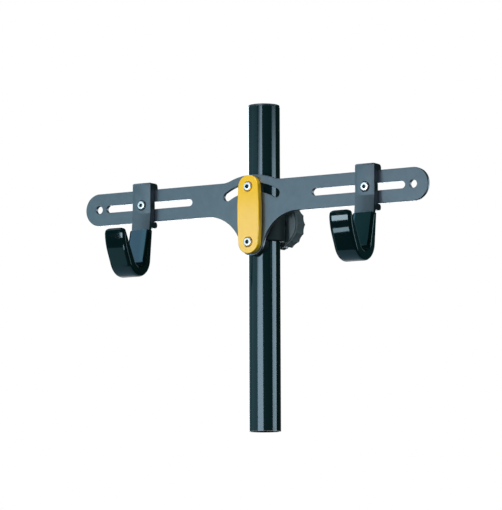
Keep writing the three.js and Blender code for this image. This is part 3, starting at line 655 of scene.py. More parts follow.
class TOWER_OT_cross_arm(bpy.types.Operator):
    """Makes the flat cross arm with its slots and holes"""
    bl_idname = "tower.cross_arm"
    bl_label = "Cross arm"

    def outline(self, pen, sizes):
        top, bottom = ARM_HEIGHT + sizes.half_height, ARM_HEIGHT - sizes.half_height
        end = ARM_REACH - sizes.half_height
        throat, lobe = sizes.throat_fillet, sizes.lobe_radius
        throat_z = bottom - throat
        throat_x = math.sqrt((throat + lobe) ** 2 - (PIVOT_HEIGHT - throat_z) ** 2)
        throat_turn = math.degrees(math.atan2(PIVOT_HEIGHT - throat_z, throat_x))
        hub, fillet = HUB_TOP - PIVOT_HEIGHT, sizes.hub_fillet
        crown_z = top + fillet
        crown_x = math.sqrt((hub + fillet) ** 2 - (crown_z - PIVOT_HEIGHT) ** 2)
        crown_turn = math.degrees(math.atan2(crown_z - PIVOT_HEIGHT, crown_x))
        pen.arc_about(-end, ARM_HEIGHT, sizes.half_height, 90, 270)
        pen.arc_about(-throat_x, throat_z, throat, 90, throat_turn)
        pen.arc_about(0, PIVOT_HEIGHT, lobe, 180 + throat_turn, 360 - throat_turn)
        pen.arc_about(throat_x, throat_z, throat, 180 - throat_turn, 90)
        pen.arc_about(end, ARM_HEIGHT, sizes.half_height, -90, 90)
        pen.arc_about(crown_x, crown_z, fillet, 270, 180 + crown_turn)
        pen.arc_about(0, PIVOT_HEIGHT, hub, crown_turn, 180 - crown_turn)
        pen.arc_about(-crown_x, crown_z, fillet, 360 - crown_turn, 270)
        return pen.close()

    def long_slot(self, pen, side, sizes):
        outer = side * (ARM_REACH - sizes.half_height - sizes.end_spacing)
        inner = outer - side * sizes.slot_length
        first = 90 if side > 0 else -90
        pen.arc_about(inner, ARM_HEIGHT, sizes.slot_half_height, first, first + 180)
        pen.arc_about(outer, ARM_HEIGHT, sizes.slot_half_height, first + 180, first + 360)
        return pen.close()

    def arc_slot(self, pen, sizes):
        span, width = math.degrees(sizes.tilt_limit), BUSH_RADIUS + SLOT_GAP
        left, right = 90 + span, 90 - span
        for turned_to, start in ((left, left), (right, right + 180)):
            radius = GUIDE_RADIUS + width if turned_to == left else GUIDE_RADIUS - width
            ends = (right, left) if turned_to == left else (left, right)
            pen.arc_about(0, PIVOT_HEIGHT, radius, *ends)
            centre_x = GUIDE_RADIUS * math.cos(math.radians(turned_to))
            centre_z = PIVOT_HEIGHT + GUIDE_RADIUS * math.sin(math.radians(turned_to))
            pen.arc_about(centre_x, centre_z, width, start, start + 180)
        return pen.close()

    def execute(self, context):
        sizes = settings("arm")
        mesh = bmesh.new()
        face = self.outline(front_pen(mesh, ARM_REAR), sizes)
        plate = slab(mesh, face, (0, -1, 0), ARM_FACE - ARM_REAR, sizes.edge)
        through = (ARM_FACE, ARM_REAR, sizes.cut_edge)
        cutters = [
            slot_cutter(lambda pen: self.arc_slot(pen, sizes), *through),
            hole_cutter(BUSH_RADIUS + RUNNING_GAP, 0, PIVOT_HEIGHT, *through),
        ]
        for side in (-1, 1):
            cutters.append(slot_cutter(lambda pen, side=side: self.long_slot(pen, side, sizes), *through))
            end = side * (ARM_REACH - sizes.half_height)
            cutters.append(hole_cutter(sizes.end_hole_radius, end, ARM_HEIGHT, *through))
        plate = cut(plate, *cutters)
        paint_skin = satin_paint("grey_blue_baked_enamel_on_steel", sizes.metal)
        finished("cross_arm_plate", plate, paint_skin, "arm", "grey_blue_paint", "cross_arm")
        return {"FINISHED"}


class HookLines:
    """Places of a hook: straight lines that lean and touch circles about the centre of its bend."""

    def __init__(self):
        self.sizes = settings("hook")
        self.arm_low = ARM_HEIGHT - settings("arm").half_height
        self.arm_top = ARM_HEIGHT + settings("arm").half_height
        self.back = ARM_FACE + SLOT_GAP
        self.face = self.back + self.sizes.front_thickness
        self.bend_ahead = self.face + self.sizes.bend_reach
        self.bend_height = self.arm_low - self.sizes.bend_drop

    def corner(self, side, radius, lean, height, rounding):
        rise = (height - self.bend_height) * math.sin(lean)
        return (self.bend_ahead + side * (radius + rise) / math.cos(lean), height, rounding)

    def height_on_front(self, radius, lean, ahead):
        out = (ahead - self.bend_ahead) * math.cos(lean) - radius
        return self.bend_height + out / math.sin(lean)

    def tangent_lean(self, out, up, radius):
        """Lean of the line through a point, given from the bend's centre, that touches the circle."""
        return math.acos(radius / math.hypot(out, up)) - math.atan2(up, out)

    def strap(self, spare):
        sizes = self.sizes
        inner, outer = sizes.strap_inner - spare, sizes.strap_inner + sizes.strap_thickness + spare
        tip = self.arm_low - sizes.strap_tip_drop + spare
        rear, front, tip_round = sizes.strap_rear_lean, sizes.strap_front_lean, 2 * MM
        return [
            self.corner(-1, inner, rear, self.bend_height - inner, inner),
            self.corner(1, inner, front, self.bend_height - inner, inner),
            self.corner(1, inner, front, tip, tip_round),
            self.corner(1, outer, front, tip, tip_round),
            self.corner(1, outer, front, self.bend_height - outer, outer),
            self.corner(-1, outer, rear, self.bend_height - outer, outer),
        ]


def screw_way(screw, back, floor, face, rim, x, z):
    """A cutter for a screw: its hole, the seat under its head, a deeper ring round that and the recess."""
    hole, recess = screw.shank + SCREW_HOLE_GAP, screw.head + screw.recess_gap
    seat = screw.head - HEAD_MARGIN
    return turned_ahead([
        (0, back), (hole, back), (hole, floor), (seat, floor), (seat, floor - screw.relief),
        (recess, floor - screw.relief), (recess, face - rim), (recess + rim + OVERRUN, face + OVERRUN),
        (0, face + OVERRUN)], x, z)


class TOWER_OT_hook_brackets(bpy.types.Operator):
    """Makes the two cast brackets that fold over the arm and carry on down as straps"""
    bl_idname = "tower.hook_brackets"
    bl_label = "Hook brackets"

    def corners(self, lines):
        sizes = lines.sizes
        outer = sizes.strap_inner + sizes.strap_thickness
        top = lines.arm_top + SLOT_GAP + sizes.top_thickness
        lip_front = ARM_REAR - RUNNING_GAP
        lip_back = lip_front - sizes.lip_thickness
        lip_low = ARM_HEIGHT + sizes.lip_low
        nose_high = lines.arm_low - SLOT_GAP
        nose_low = nose_high - 2 * sizes.nose_radius
        nose_back = lines.back - sizes.nose_reach
        lip_round, rear_round, top_round, knee_round = 1.1 * MM, 5 * MM, 2.2 * MM, 4 * MM
        join_round, nose_fillet = 20 * MM, 2.5 * MM
        return [
            (lip_back, lip_low, lip_round),
            (lip_back, top, rear_round),
            (lines.face, top, top_round),
            (lines.face, ARM_HEIGHT - sizes.knee_drop, knee_round),
            lines.corner(-1, sizes.strap_inner, sizes.strap_rear_lean,
                         lines.arm_low - sizes.join_drop, join_round),
            *lines.strap(0),
            lines.corner(-1, outer, sizes.strap_rear_lean, nose_low, nose_fillet),
            (nose_back, nose_low, sizes.nose_radius),
            (nose_back, nose_high, sizes.nose_radius),
            (lines.back, nose_high, 0),
            (lines.back, lines.arm_top + SLOT_GAP, 0),
            (lip_front, lines.arm_top + SLOT_GAP, 0),
            (lip_front, lip_low, lip_round),
        ]

    def corner_cutter(self, lines, reach, way):
        """Takes off an upper corner of the bracket in a round, seen from the front."""
        sizes = lines.sizes
        radius, top = sizes.corner_radius, lines.arm_top + SLOT_GAP + sizes.top_thickness
        flank = reach + way * sizes.half_width
        mesh = bmesh.new()
        behind = ARM_REAR - 2 * sizes.lip_thickness
        pen = front_pen(mesh, behind)
        start = 0 if way > 0 else 180
        pen.arc_about(flank - way * radius, top - radius, radius, start, 90)
        pen.line(flank - way * radius, top + OVERRUN)
        pen.line(flank + way * OVERRUN, top + OVERRUN)
        pen.line(flank + way * OVERRUN, top - radius)
        face = pen.close()
        return slab(mesh, face, (0, -1, 0), lines.face + OVERRUN - behind, CRISP, 1)

    def execute(self, context):
        lines, screw = HookLines(), settings("screw")
        sizes = lines.sizes
        for side, reach in HOOK_REACH.items():
            mesh = bmesh.new()
            face = rounded(side_pen(mesh, reach - sizes.half_width), self.corners(lines))
            body = slab(mesh, face, (1, 0, 0), 2 * sizes.half_width, sizes.edge, 3)
            cutter = screw_way(screw, ARM_REAR, lines.face - sizes.screw_recess, lines.face,
                               rim=0.35 * MM, x=reach, z=ARM_HEIGHT)
            corners = [self.corner_cutter(lines, reach, way) for way in (-1, 1)]
            skin = satin_paint("grey_blue_baked_enamel_on_casting", sizes.metal)
            finished(f"{side}_bracket_casting", cut(body, cutter, *corners), skin, f"{side}_hook",
                     "grey_blue_paint", f"{side}_hook_bracket")
        return {"FINISHED"}


# Leans of the cover's rear face outside and inside, and of its front leg inside. The knee of its front
# face lies above the bend's centre.
COVER_LEANS = [math.radians(degrees) for degrees in (6.2, 13.6, 29)]
COVER_KNEE = 16.3 * MM


class TOWER_OT_hook_covers(bpy.types.Operator):
    """Makes the two soft glossy covers that the straps are dipped in"""
    bl_idname = "tower.hook_covers"
    bl_label = "Hook covers"

    def corners(self, lines):
        sizes = lines.sizes
        top, tip_top = lines.arm_low - sizes.cover_top_drop, lines.arm_low - sizes.cover_tip_drop
        tip = lines.bend_ahead + sizes.cover_tip_reach
        inside = tip - sizes.cover_tip
        outer, inner = sizes.cover_outer, sizes.cover_inner
        rear_outer, rear_inner, front_inner = COVER_LEANS
        tip_round, knee_round, inner_round = 2.7 * MM, 60 * MM, 6 * MM
        knee = lines.bend_height + COVER_KNEE
        front_outer = lines.tangent_lean(tip - lines.bend_ahead, knee - lines.bend_height, outer)
        return [
            lines.corner(-1, outer, rear_outer, top, 0),
            lines.corner(-1, outer, rear_outer, lines.bend_height - outer, outer),
            lines.corner(1, outer, front_outer, lines.bend_height - outer, outer),
            (tip, knee, knee_round),
            (tip, tip_top, tip_round),
            (inside, tip_top, tip_round),
            (inside, lines.height_on_front(inner, front_inner, inside), inner_round),
            lines.corner(1, inner, front_inner, lines.bend_height - inner, inner),
            lines.corner(-1, inner, rear_inner, lines.bend_height - inner, inner),
            lines.corner(-1, inner, rear_inner, top, 0),
        ]

    def round_tip(self, skin, lines, x):
        """Draws in the upper corners of the tip, so that it ends in a round, seen from the front."""
        sizes = lines.sizes
        top = lines.arm_low - sizes.cover_tip_drop
        steps = 10
        for step in range(1, steps):
            front_leg = [face for face in skin.faces if -face.calc_center_median().y > lines.bend_ahead]
            bmesh.ops.bisect_plane(
                skin, geom=skin.verts[:] + skin.edges[:] + front_leg,
                plane_co=(0, 0, top - sizes.tip_rounding * step / steps), plane_no=(0, 0, 1), dist=WELD)
        for vert in skin.verts:
            if -vert.co.y > lines.bend_ahead:
                rise = max(0.0, 1 - (top - vert.co.z) / sizes.tip_rounding)
                vert.co.x -= (vert.co.x - x) * sizes.tip_narrowing * (1 - math.sqrt(1 - min(rise, 1.0) ** 2))

    def pocket(self, lines, x, half_width):
        sizes = lines.sizes
        high_end = lines.arm_low - sizes.cover_top_drop + OVERRUN
        outer = sizes.strap_inner + sizes.strap_thickness + SEAT_GAP
        mesh = bmesh.new()
        face = rounded(side_pen(mesh, x - half_width), [
            lines.corner(-1, sizes.strap_inner - SEAT_GAP, sizes.strap_rear_lean, high_end, 0),
            *lines.strap(SEAT_GAP),
            lines.corner(-1, outer, sizes.strap_rear_lean, high_end, 0),
        ])
        return slab(mesh, face, (1, 0, 0), 2 * half_width, edge=0.3 * MM, steps=1)

    def execute(self, context):
        lines = HookLines()
        sizes = lines.sizes
        for side, reach in HOOK_REACH.items():
            mesh = bmesh.new()
            face = rounded(side_pen(mesh, reach - sizes.cover_half_width), self.corners(lines))
            skin = slab(mesh, face, (1, 0, 0), 2 * sizes.cover_half_width,
                        sizes.cover_edge, 8, sizes.cover_camber)
            self.round_tip(skin, lines, reach)
            pocket = self.pocket(lines, reach, sizes.half_width + SEAT_GAP)
            finished(f"{side}_cover_skin", cut(skin, pocket), dipped_vinyl(), f"{side}_hook",
                     "gloss_vinyl", f"{side}_hook_cover")
        return {"FINISHED"}


class TOWER_OT_link_plate(bpy.types.Operator):
    """Makes the yellow plate that both front screws pass through"""
    bl_idname = "tower.link_plate"
    bl_label = "Link plate"

    def outline(self, pen, sizes):
        half = GUIDE_RADIUS / 2
        sag = sizes.half_waist - sizes.end_radius
        bow = (half * half + sag * sag) / (2 * sag)
        spread = math.degrees(math.asin(half / bow))
        middle = PIVOT_HEIGHT + half
        pen.arc_about(0, PIVOT_HEIGHT, sizes.end_radius, 180 + spread, 360 - spread)
        pen.arc_about(sizes.half_waist - bow, middle, bow, -spread, spread)
        pen.arc_about(0, GUIDE_HEIGHT, sizes.end_radius, spread, 180 - spread)
        pen.arc_about(bow - sizes.half_waist, middle, bow, 180 - spread, 180 + spread)
        return pen.close()

    def execute(self, context):
        sizes, screw = settings("link"), settings("screw")
        mesh = bmesh.new()
        face = self.outline(front_pen(mesh, LINK_BACK), sizes)
        plate = slab(mesh, face, (0, -1, 0), LINK_FACE - LINK_BACK, sizes.edge, 5)
        cutters = [
            screw_way(screw, LINK_BACK - OVERRUN, LINK_FACE - sizes.recess, LINK_FACE,
                      rim=0.3 * MM, x=0, z=height)
            for height in (PIVOT_HEIGHT, GUIDE_HEIGHT)]
        washer = high("front_friction_washer", "x") + SLOT_GAP
        bed = -low("front_friction_washer", "y") + FACE_GAP
        cutters.append(drilled(washer, 0, bed, PIVOT_HEIGHT))
        finished("link_plate_enamelled", cut(plate, *cutters), yellow_enamel(), "clamp",
                 "yellow_paint", "link_plate")
        return {"FINISHED"}


def domed_screw(sizes, tip, seat, x, z):
    """A button-head screw with a hexagon socket, its head resting at seat."""
    crown = []
    steps = 10
    for step in range(steps + 1):
        angle = math.pi / 2 * step / steps
        crown.append((sizes.crown + (sizes.head - sizes.crown) * math.cos(angle),
                      seat + sizes.rim + (sizes.head_height - sizes.rim) * math.sin(angle)))
    chamfer, edge = 0.5 * MM, 0.15 * MM
    turned_part = turned_ahead([
        (0, tip), (sizes.shank - chamfer, tip), (sizes.shank, tip + chamfer), (sizes.shank, seat),
        (sizes.head - edge, seat), (sizes.head, seat + edge), *crown,
        (0, seat + sizes.head_height)], x, z, 72)
    top = seat + sizes.head_height
    corner = sizes.socket / math.cos(math.pi / 6)
    bevel = sizes.socket_bevel
    socket = turned_ahead([
        (0, top - sizes.socket_depth), (corner, top - sizes.socket_depth), (corner, top - bevel),
        (corner + bevel + OVERRUN, top + OVERRUN), (0, top + OVERRUN)], x, z, 6)
    screw = cut(turned_part, socket)
    # Faces on the socket's walls take the second material, which carries painted shade for the socket's
    # hollow.
    for face in screw.faces:
        middle = face.calc_center_median()
        inside = math.hypot(middle.x - x, middle.z - z) < corner + bevel
        face.material_index = int(inside and seat + sizes.rim < -middle.y < top - bevel / 8)
    return screw


class TOWER_OT_screws(bpy.types.Operator):
    """Makes the four domed screws"""
    bl_idname = "tower.screws"
    bl_label = "Screws"

    def execute(self, context):
        sizes = settings("screw")
        bodies = {"pivot_screw": "clamp", "guide_screw": "clamp",
                  "left_hook_screw": "left_hook", "right_hook_screw": "right_hook"}
        for node, body in bodies.items():
            x = (low(node, "x") + high(node, "x")) / 2
            z = (low(node, "z") + high(node, "z")) / 2
            seat = -low(node, "y") - sizes.head_height
            mesh = domed_screw(sizes, -high(node, "y"), seat, x, z)
            # The second material is the painted shade on the socket's walls.
            finished(f"{node}_plated", mesh, (bright_zinc(), painted_socket_shade()), body, "zinc_steel", node)
        return {"FINISHED"}


# Inside the clamp. The rib's heights are above the knob's axis.
LINER_RIB_LOW, LINER_RIB_HIGH, LINER_RIB_DEPTH = 13 * MM, 17 * MM, 1 * MM
BOLT_WAY, INSERT_CORNER, SHOE_WAY = 4.5 * MM, 7.56 * MM, 5.7 * MM
INSERT_FRONT, SHOE_WAY_REAR = -26.45 * MM, -27 * MM


class TOWER_OT_clamp(bpy.types.Operator):
    """Makes the cast clamp body with its collar, cheeks and boss"""
    bl_idname = "tower.clamp"
    bl_label = "Clamp body"

    def carrier(self, sizes, face_ahead):
        mesh = bmesh.new()
        pen = front_pen(mesh, face_ahead - sizes.depth)
        lean = math.degrees(math.asin((sizes.pad_radius - sizes.bar_radius) / GUIDE_RADIUS))
        pen.arc_about(0, PIVOT_HEIGHT, sizes.pad_radius, 180 - lean, 360 + lean)
        pen.arc_about(0, GUIDE_HEIGHT, sizes.bar_radius, lean, 180 - lean)
        return slab(mesh, pen.close(), (0, -1, 0), sizes.depth, sizes.edge)

    def cheeks(self, sizes, collar):
        mesh = bmesh.new()
        pen = Pen(mesh, (0, 0, KNOB_HEIGHT - sizes.cheek_front_low), (1, 0, 0), (0, -1, 0))
        half, end = sizes.cheek_half_width, -sizes.cheek_behind
        face = rounded(pen, [(-collar, 0, 0), (collar, 0, 0), (half, end, 2 * MM), (-half, end, 2 * MM)])
        block = slab(mesh, face, (0, 0, 1), sizes.cheek_high + sizes.cheek_front_low, sizes.edge)
        wedge = bmesh.new()
        side = side_pen(wedge, -collar - OVERRUN)
        drop = KNOB_HEIGHT - sizes.cheek_front_low
        rear = KNOB_HEIGHT - sizes.cheek_rear_low
        behind, below = -sizes.cheek_behind - OVERRUN, drop - 2 * OVERRUN
        for ahead, height in ((OVERRUN, below), (OVERRUN, drop), (behind, rear), (behind, below)):
            side.line(ahead, height)
        under = slab(wedge, side.close(), (1, 0, 0), 2 * (collar + OVERRUN), CRISP, 1)
        return cut(block, under)

    def execute(self, context):
        sizes, screw = settings("clamp"), settings("screw")
        collar = sizes.bore + sizes.wall
        collar_low, collar_high = low("clamp_liner", "z") - FACE_GAP, KNOB_HEIGHT + sizes.collar_high
        face_ahead = -low("clamp_body", "y")
        boss_end = -high("clamp_body", "y")
        profile = [(0, collar_low), (collar, collar_low), (collar, collar_high), (0, collar_high)]
        ring = turned_up(softened(profile, sizes.edge), 96)
        trim = bmesh.new()
        bmesh.ops.create_cube(trim, size=4 * collar)
        front_trim = (0, -face_ahead - 2 * collar + sizes.edge, KNOB_HEIGHT)
        bmesh.ops.translate(trim, vec=front_trim, verts=trim.verts)
        ring = cut(ring, trim)
        boss = soft_rod(sizes.boss_radius, boss_end, 0, sizes.edge, KNOB_HEIGHT)
        casting = joined(ring, self.carrier(sizes, face_ahead), self.cheeks(sizes, collar), boss)
        rib_low, rib_high = KNOB_HEIGHT + LINER_RIB_LOW - SEAT_GAP, KNOB_HEIGHT + LINER_RIB_HIGH + SEAT_GAP
        passage, groove = MAST_RADIUS + sizes.mast_gap, sizes.bore + LINER_RIB_DEPTH
        hollow = turned_up([
            (0, 0), (passage, 0), (passage, collar_low), (sizes.bore, collar_low), (sizes.bore, rib_low),
            (groove, rib_low), (groove, rib_high), (sizes.bore, rib_high), (sizes.bore, collar_high),
            (passage, collar_high), (passage, MAST_TOP), (0, MAST_TOP)], 96)
        rear, front = boss_end - OVERRUN, face_ahead + OVERRUN
        washer = high("rear_friction_washer", "x") + SLOT_GAP
        hole = screw.shank + SCREW_HOLE_GAP
        cutters = [
            hollow,
            drilled(BOLT_WAY, rear, 0, KNOB_HEIGHT),
            drilled(INSERT_CORNER, rear, INSERT_FRONT, KNOB_HEIGHT, 6),
            drilled(SHOE_WAY, SHOE_WAY_REAR, 0, KNOB_HEIGHT),
            drilled(washer, -high("rear_friction_washer", "y") - FACE_GAP, front, PIVOT_HEIGHT),
            drilled(hole, 0, front, PIVOT_HEIGHT),
            drilled(hole, 0, front, GUIDE_HEIGHT),
        ]
        finished("clamp_casting", cut(casting, *cutters), black_casting(), "clamp",
                 "black_casting", "clamp_body")
        return {"FINISHED"}


# The knob's flange is rooted in the grip behind it, and its bolt's head lies under the cap.
FLANGE_STEP, FLANGE_ROOT, FLANGE_EDGE = 0.1 * MM, 0.37 * MM, 0.25 * MM
BOLT_HEAD, BOLT_HOLE = 5.6 * MM, 4.15 * MM


class TOWER_OT_knob(bpy.types.Operator):
    """Makes the scalloped clamp knob and its end cap"""
    bl_idname = "tower.knob"
    bl_label = "Knob"

    def scallops(self, sizes, radius, ahead):
        """The rim: shallow arcs that meet in ridges, drawn one by one round the knob."""
        mesh = bmesh.new()
        pen = Pen(mesh, (0, -ahead, KNOB_HEIGHT), (1, 0, 0), (0, 0, 1))
        share = FULL_TURN / sizes.lobes
        half_chord = radius * math.sin(share / 2)
        sag = sizes.lobe_depth - radius * (1 - math.cos(share / 2))
        bow = (half_chord ** 2 + sag ** 2) / (2 * sag)
        centre = radius * math.cos(share / 2) - sag + bow
        sweep = 2 * math.asin(half_chord / bow)
        for lobe in range(sizes.lobes):
            angle = share * lobe
            pen.line(radius * math.cos(angle), radius * math.sin(angle))
            middle = angle + share / 2
            pen.arc(centre * math.cos(middle), centre * math.sin(middle), -sweep, step=sweep / 6)
        return mesh, pen.close()

    def execute(self, context):
        sizes = settings("knob")
        radius = high("knob", "x")
        front, rear = -low("knob", "y"), -high("knob", "y")
        grip_front = front - sizes.flange + sizes.edge
        mesh, face = self.scallops(sizes, radius, rear)
        grip = slab(mesh, face, (0, -1, 0), grip_front - rear, sizes.edge)
        rim = radius - FLANGE_STEP
        behind = front - sizes.flange - FLANGE_ROOT
        flange = soft_rod(rim, behind, front, FLANGE_EDGE, KNOB_HEIGHT, 128)
        out, bottom = rim - sizes.lip, front - sizes.groove_depth
        inside = out - sizes.groove
        groove = turned_ahead([(inside, bottom), (out, bottom), (out, front + OVERRUN),
                               (inside, front + OVERRUN), (inside, bottom)], 0, KNOB_HEIGHT, 128)
        bolt = high("knob_bolt", "z") - KNOB_HEIGHT
        cap = high("knob_cap", "x") + SEAT_GAP
        recess_floor, chamfer = front - sizes.recess_depth, 0.5 * MM
        cutter = turned_ahead([
            (0, recess_floor), (sizes.recess_radius, recess_floor), (sizes.recess_radius, front - chamfer),
            (sizes.recess_radius + chamfer + OVERRUN, front + OVERRUN), (0, front + OVERRUN)], 0, KNOB_HEIGHT)
        seat = -high("knob_bolt", "y") + SEAT_GAP
        shoulder = -high("knob_bolt", "y") + BOLT_HEAD
        bore = turned_ahead([
            (0, rear - OVERRUN), (cap, rear - OVERRUN), (cap, seat), (bolt, seat), (bolt, shoulder),
            (BOLT_HOLE, shoulder), (BOLT_HOLE, front), (0, front)], 0, KNOB_HEIGHT)
        lip, dish_floor, hub = 0.6 * MM, rear + sizes.dish_depth, sizes.hub_radius
        dish = turned_ahead([
            (hub, dish_floor), (sizes.dish_radius, dish_floor), (sizes.dish_radius, rear + lip),
            (sizes.dish_radius + lip + OVERRUN, rear - OVERRUN), (hub, rear - OVERRUN), (hub, dish_floor)],
            0, KNOB_HEIGHT)
        body = cut(joined(grip, flange), cutter, groove, bore, dish)
        plastic = moulded_nylon("black_glass_filled_nylon", tuple(sizes.plastic), 0.48)
        finished("knob_grip", body, plastic, "knob", "black_plastic", "knob")
        end_cap = soft_rod(high("knob_cap", "x"), rear, -low("knob_cap", "y"), edge=0.5 * MM, z=KNOB_HEIGHT)
        finished("knob_end_cap", end_cap, plastic, "knob", "black_nylon", "knob_cap")
        return {"FINISHED"}


class TOWER_OT_hidden_parts(bpy.types.Operator):
    """Gives the inner pieces their finishes"""
    bl_idname = "tower.hidden_parts"
    bl_label = "Inner pieces"

    def execute(self, context):
        white = moulded_nylon("white_acetal_washer", linear("#dcdcd4"), 0.4)
        black = moulded_nylon("black_nylon_liner", linear("#1b2022"), 0.5)
        # Turned brass shows warm and bright, and blackened steel as a dark grey that still glints.
        brass = bare_metal("machined_brass", linear("#b59a55"), 0.33)
        steel = bare_metal("black_oxide_steel", linear("#4a5052"), 0.4)
        finishes = {
            "clamp_liner": black, "clamp_insert": brass, "pressure_shoe": brass, "knob_bolt": steel,
            "pivot_bush": bright_zinc(), "guide_bush": bright_zinc(),
            "rear_friction_washer": white, "front_friction_washer": white,
            "left_hook_nut": steel, "right_hook_nut": steel,
        }
        for node, material in finishes.items():
            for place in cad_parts[node].material_slots:
                place.material = material
        return {"FINISHED"}


# Studio: floor, wall, lamps and camera.

CAMERA_AZIMUTH = 31.66


# Lamps, in degrees and metres: name, the group of pieces it lights, azimuth, distance, width, lowest and
# highest edge, radiance, colour, the share of its face at the top that fades, and its roll if it has one.
SOFTBOXES = (
    ("front_strip", "curved_parts", 1.6, 3.0, 2.1, -0.8, 0.95, 9.0, "#ecf7ff", 0.2, 16.5),
    ("front_box", "painted_parts", 5, 3.2, 5.0, -1.1, 1.0, 2.0, "#ecf6ff", 0.3),
    ("link_box", "yellow_link", -12, 3.2, 5.0, -1.0, 2.4, 0.4, "#ecf7ff", 0.3),
    ("link_key", "yellow_link", 14, 2.4, 2.0, 1.6, 3.2, 8.8, "#fffcf4", 0.3),
    ("right_strip", "all_but_flat_parts", 107, 6.0, 3.6, 0.25, 1.4, 7.3, "#e8f9ff", 0.3),
    ("left_fill", "matt_parts", -44, 3.0, 2.8, -0.2, 1.1, 0.9, "#c3f3ff", 0.3),
    ("far_left_fill", "everything", -100, 3.0, 3.9, -0.2, 1.1, 0.45, "#c3f3ff", 0.3),
    ("left_side_fill", "painted_parts", -100, 3.0, 3.0, -0.3, 1.0, 1.0, "#e4f4ff", 0.3),
    ("back_fill", "rear_matt_parts", 212, 3.0, 2.8, -0.4, 1.4, 6.5, "#e8f4ff", 0.3),
    ("back_right_fill", "arm_only", 168, 3.0, 2.6, -0.4, 1.4, 3.4, "#e8f4ff", 0.3),
    ("back_left_strip", "mast_only", 232, 3.0, 1.6, -0.8, 1.6, 5.0, "#ecf7ff", 0.2),
    ("key_box", "matt_parts", -58, 2.4, 1.9, 1.3, 2.9, 2.0, "#d8ecf8", 0),
    ("upper_glint", "dipped_covers", -25, 3.0, 0.8, -0.24, 0.37, 10.0, "#f6faff", 0),
    ("lower_glint", "dipped_covers", -25, 1.2, 0.32, -0.49, -0.32, 6.0, "#e8f6ff", 0),
    ("cover_edges", "dipped_covers", 108, 6.0, 3.3, -0.95, 2.4, 5.0, "#e0f4ff", 0),
    ("cover_rims", "dipped_covers", 185, 3.0, 3.0, -0.5, 1.5, 0.8, "#e0f4ff", 0),
    ("cover_insides", "dipped_covers", -50, 2.4, 1.2, 0.9, 2.4, 2.8, "#adddff", 0.3),
    ("cover_insides_dim", "dipped_covers", -31, 2.6, 0.8, 1.0, 2.4, 0.5, "#9bf5ff", 0.3),
    ("link_sheen", "yellow_link", -31.7, 0.6, 0.25, 0.1, 0.352, 3.2, "#b5d9ff", 0.1),
    ("knob_key", "clamp_knob", 16, 2.5, 0.2, -0.25, -0.05, 260.0, "#f0f4f4", 0),
    ("knob_fill", "clamp_knob", 25, 3.0, 1.5, -0.9, 0.6, 2.6, "#e4f6f8", 0),
)
# Level lamps: name, group, place, the side it hangs on (1 above, -1 below), width, depth, radiance, colour.
LEVEL_PANELS = (
    ("top_fill", "matt_parts", (0.0, 0.4, 2.6), 1, 2.6, 2.0, 1.4, "#eaf4ff"),
    ("cover_bottoms", "dipped_covers", (-0.5, 0.2, -0.6), -1, 1.5, 1.6, 0.56, "#c2e7ff"),
    ("cover_left_bounce", "dipped_covers", (-1.3, -0.95, -0.6), -1, 1.1, 0.7, 0.5, "#c0f9ff"),
    ("cover_undersides", "dipped_covers", (-0.9, 1.45, -0.6), -1, 1.8, 0.9, 1.2, "#f4eef0"),
)


def studio_plate(name, corners, material):
    mesh = bmesh.new()
    mesh.faces.new([mesh.verts.new(c) for c in corners])
    data = bpy.data.meshes.new(name)
    mesh.to_mesh(data)
    mesh.free()
    data.materials.append(material)
    stood(name, data)


def direction(azimuth, elevation):
    """From the object outwards: azimuth 0 is the front (-Y) and 90 the right (+X), in degrees."""
    a, e = math.radians(azimuth), math.radians(elevation)
    return Vector((math.sin(a) * math.cos(e), -math.cos(a) * math.cos(e), math.sin(e)))


def panel(name, lights, place, facing, width, height, radiance, colour, fade=0.0, roll=0.0):
    """An area lamp whose face looks against facing. The share fade of its face, at the top, dims to a
    fifth. It lights only the pieces in the collection lights, or all of them if that is None."""
    lamp = bpy.data.lights.new(name, "AREA")
    lamp.shape, lamp.size, lamp.size_y = "RECTANGLE", width, height
    lamp.energy = radiance * math.pi * width * height
    lamp.color = linear(colour)[:3]
    if fade:
        lamp.use_nodes = True
        tree = lamp.node_tree
        tree.nodes.clear()
        face = add(tree, "ShaderNodeTexCoord")
        axes = add(tree, "ShaderNodeSeparateXYZ", {"Vector": face.outputs["UV"]})
        dim = add(tree, "ShaderNodeMapRange", {"Value": axes.outputs["Y"]}, interpolation_type="SMOOTHSTEP",
                  From_Min=1 - fade, From_Max=1.0, To_Min=1.0, To_Max=0.2)
        light = add(tree, "ShaderNodeEmission", {"Strength": dim.outputs["Result"]})
        add(tree, "ShaderNodeOutputLight", {"Surface": light.outputs[0]})
    item = stood(name, lamp)
    item.location = place
    aim = facing.to_track_quat("Z", "Y").to_matrix() @ Matrix.Rotation(math.radians(roll), 3, "Z")
    item.rotation_euler = aim.to_euler()
    item.visible_camera = False
    item.light_linking.receiver_collection = lights


def softbox(name, lights, azimuth, distance, width, lowest, highest, *look):
    """A lamp aimed at the mast, given by where it stands and its lowest and highest edge."""
    target = Vector((0, 0, ARM_HEIGHT))
    place = direction(azimuth, 0) * distance + Vector((0, 0, (lowest + highest) / 2))
    away = place - target
    height = (highest - lowest) / math.cos(math.asin(away.z / away.length))
    panel(name, lights, place, away, width, height, *look)


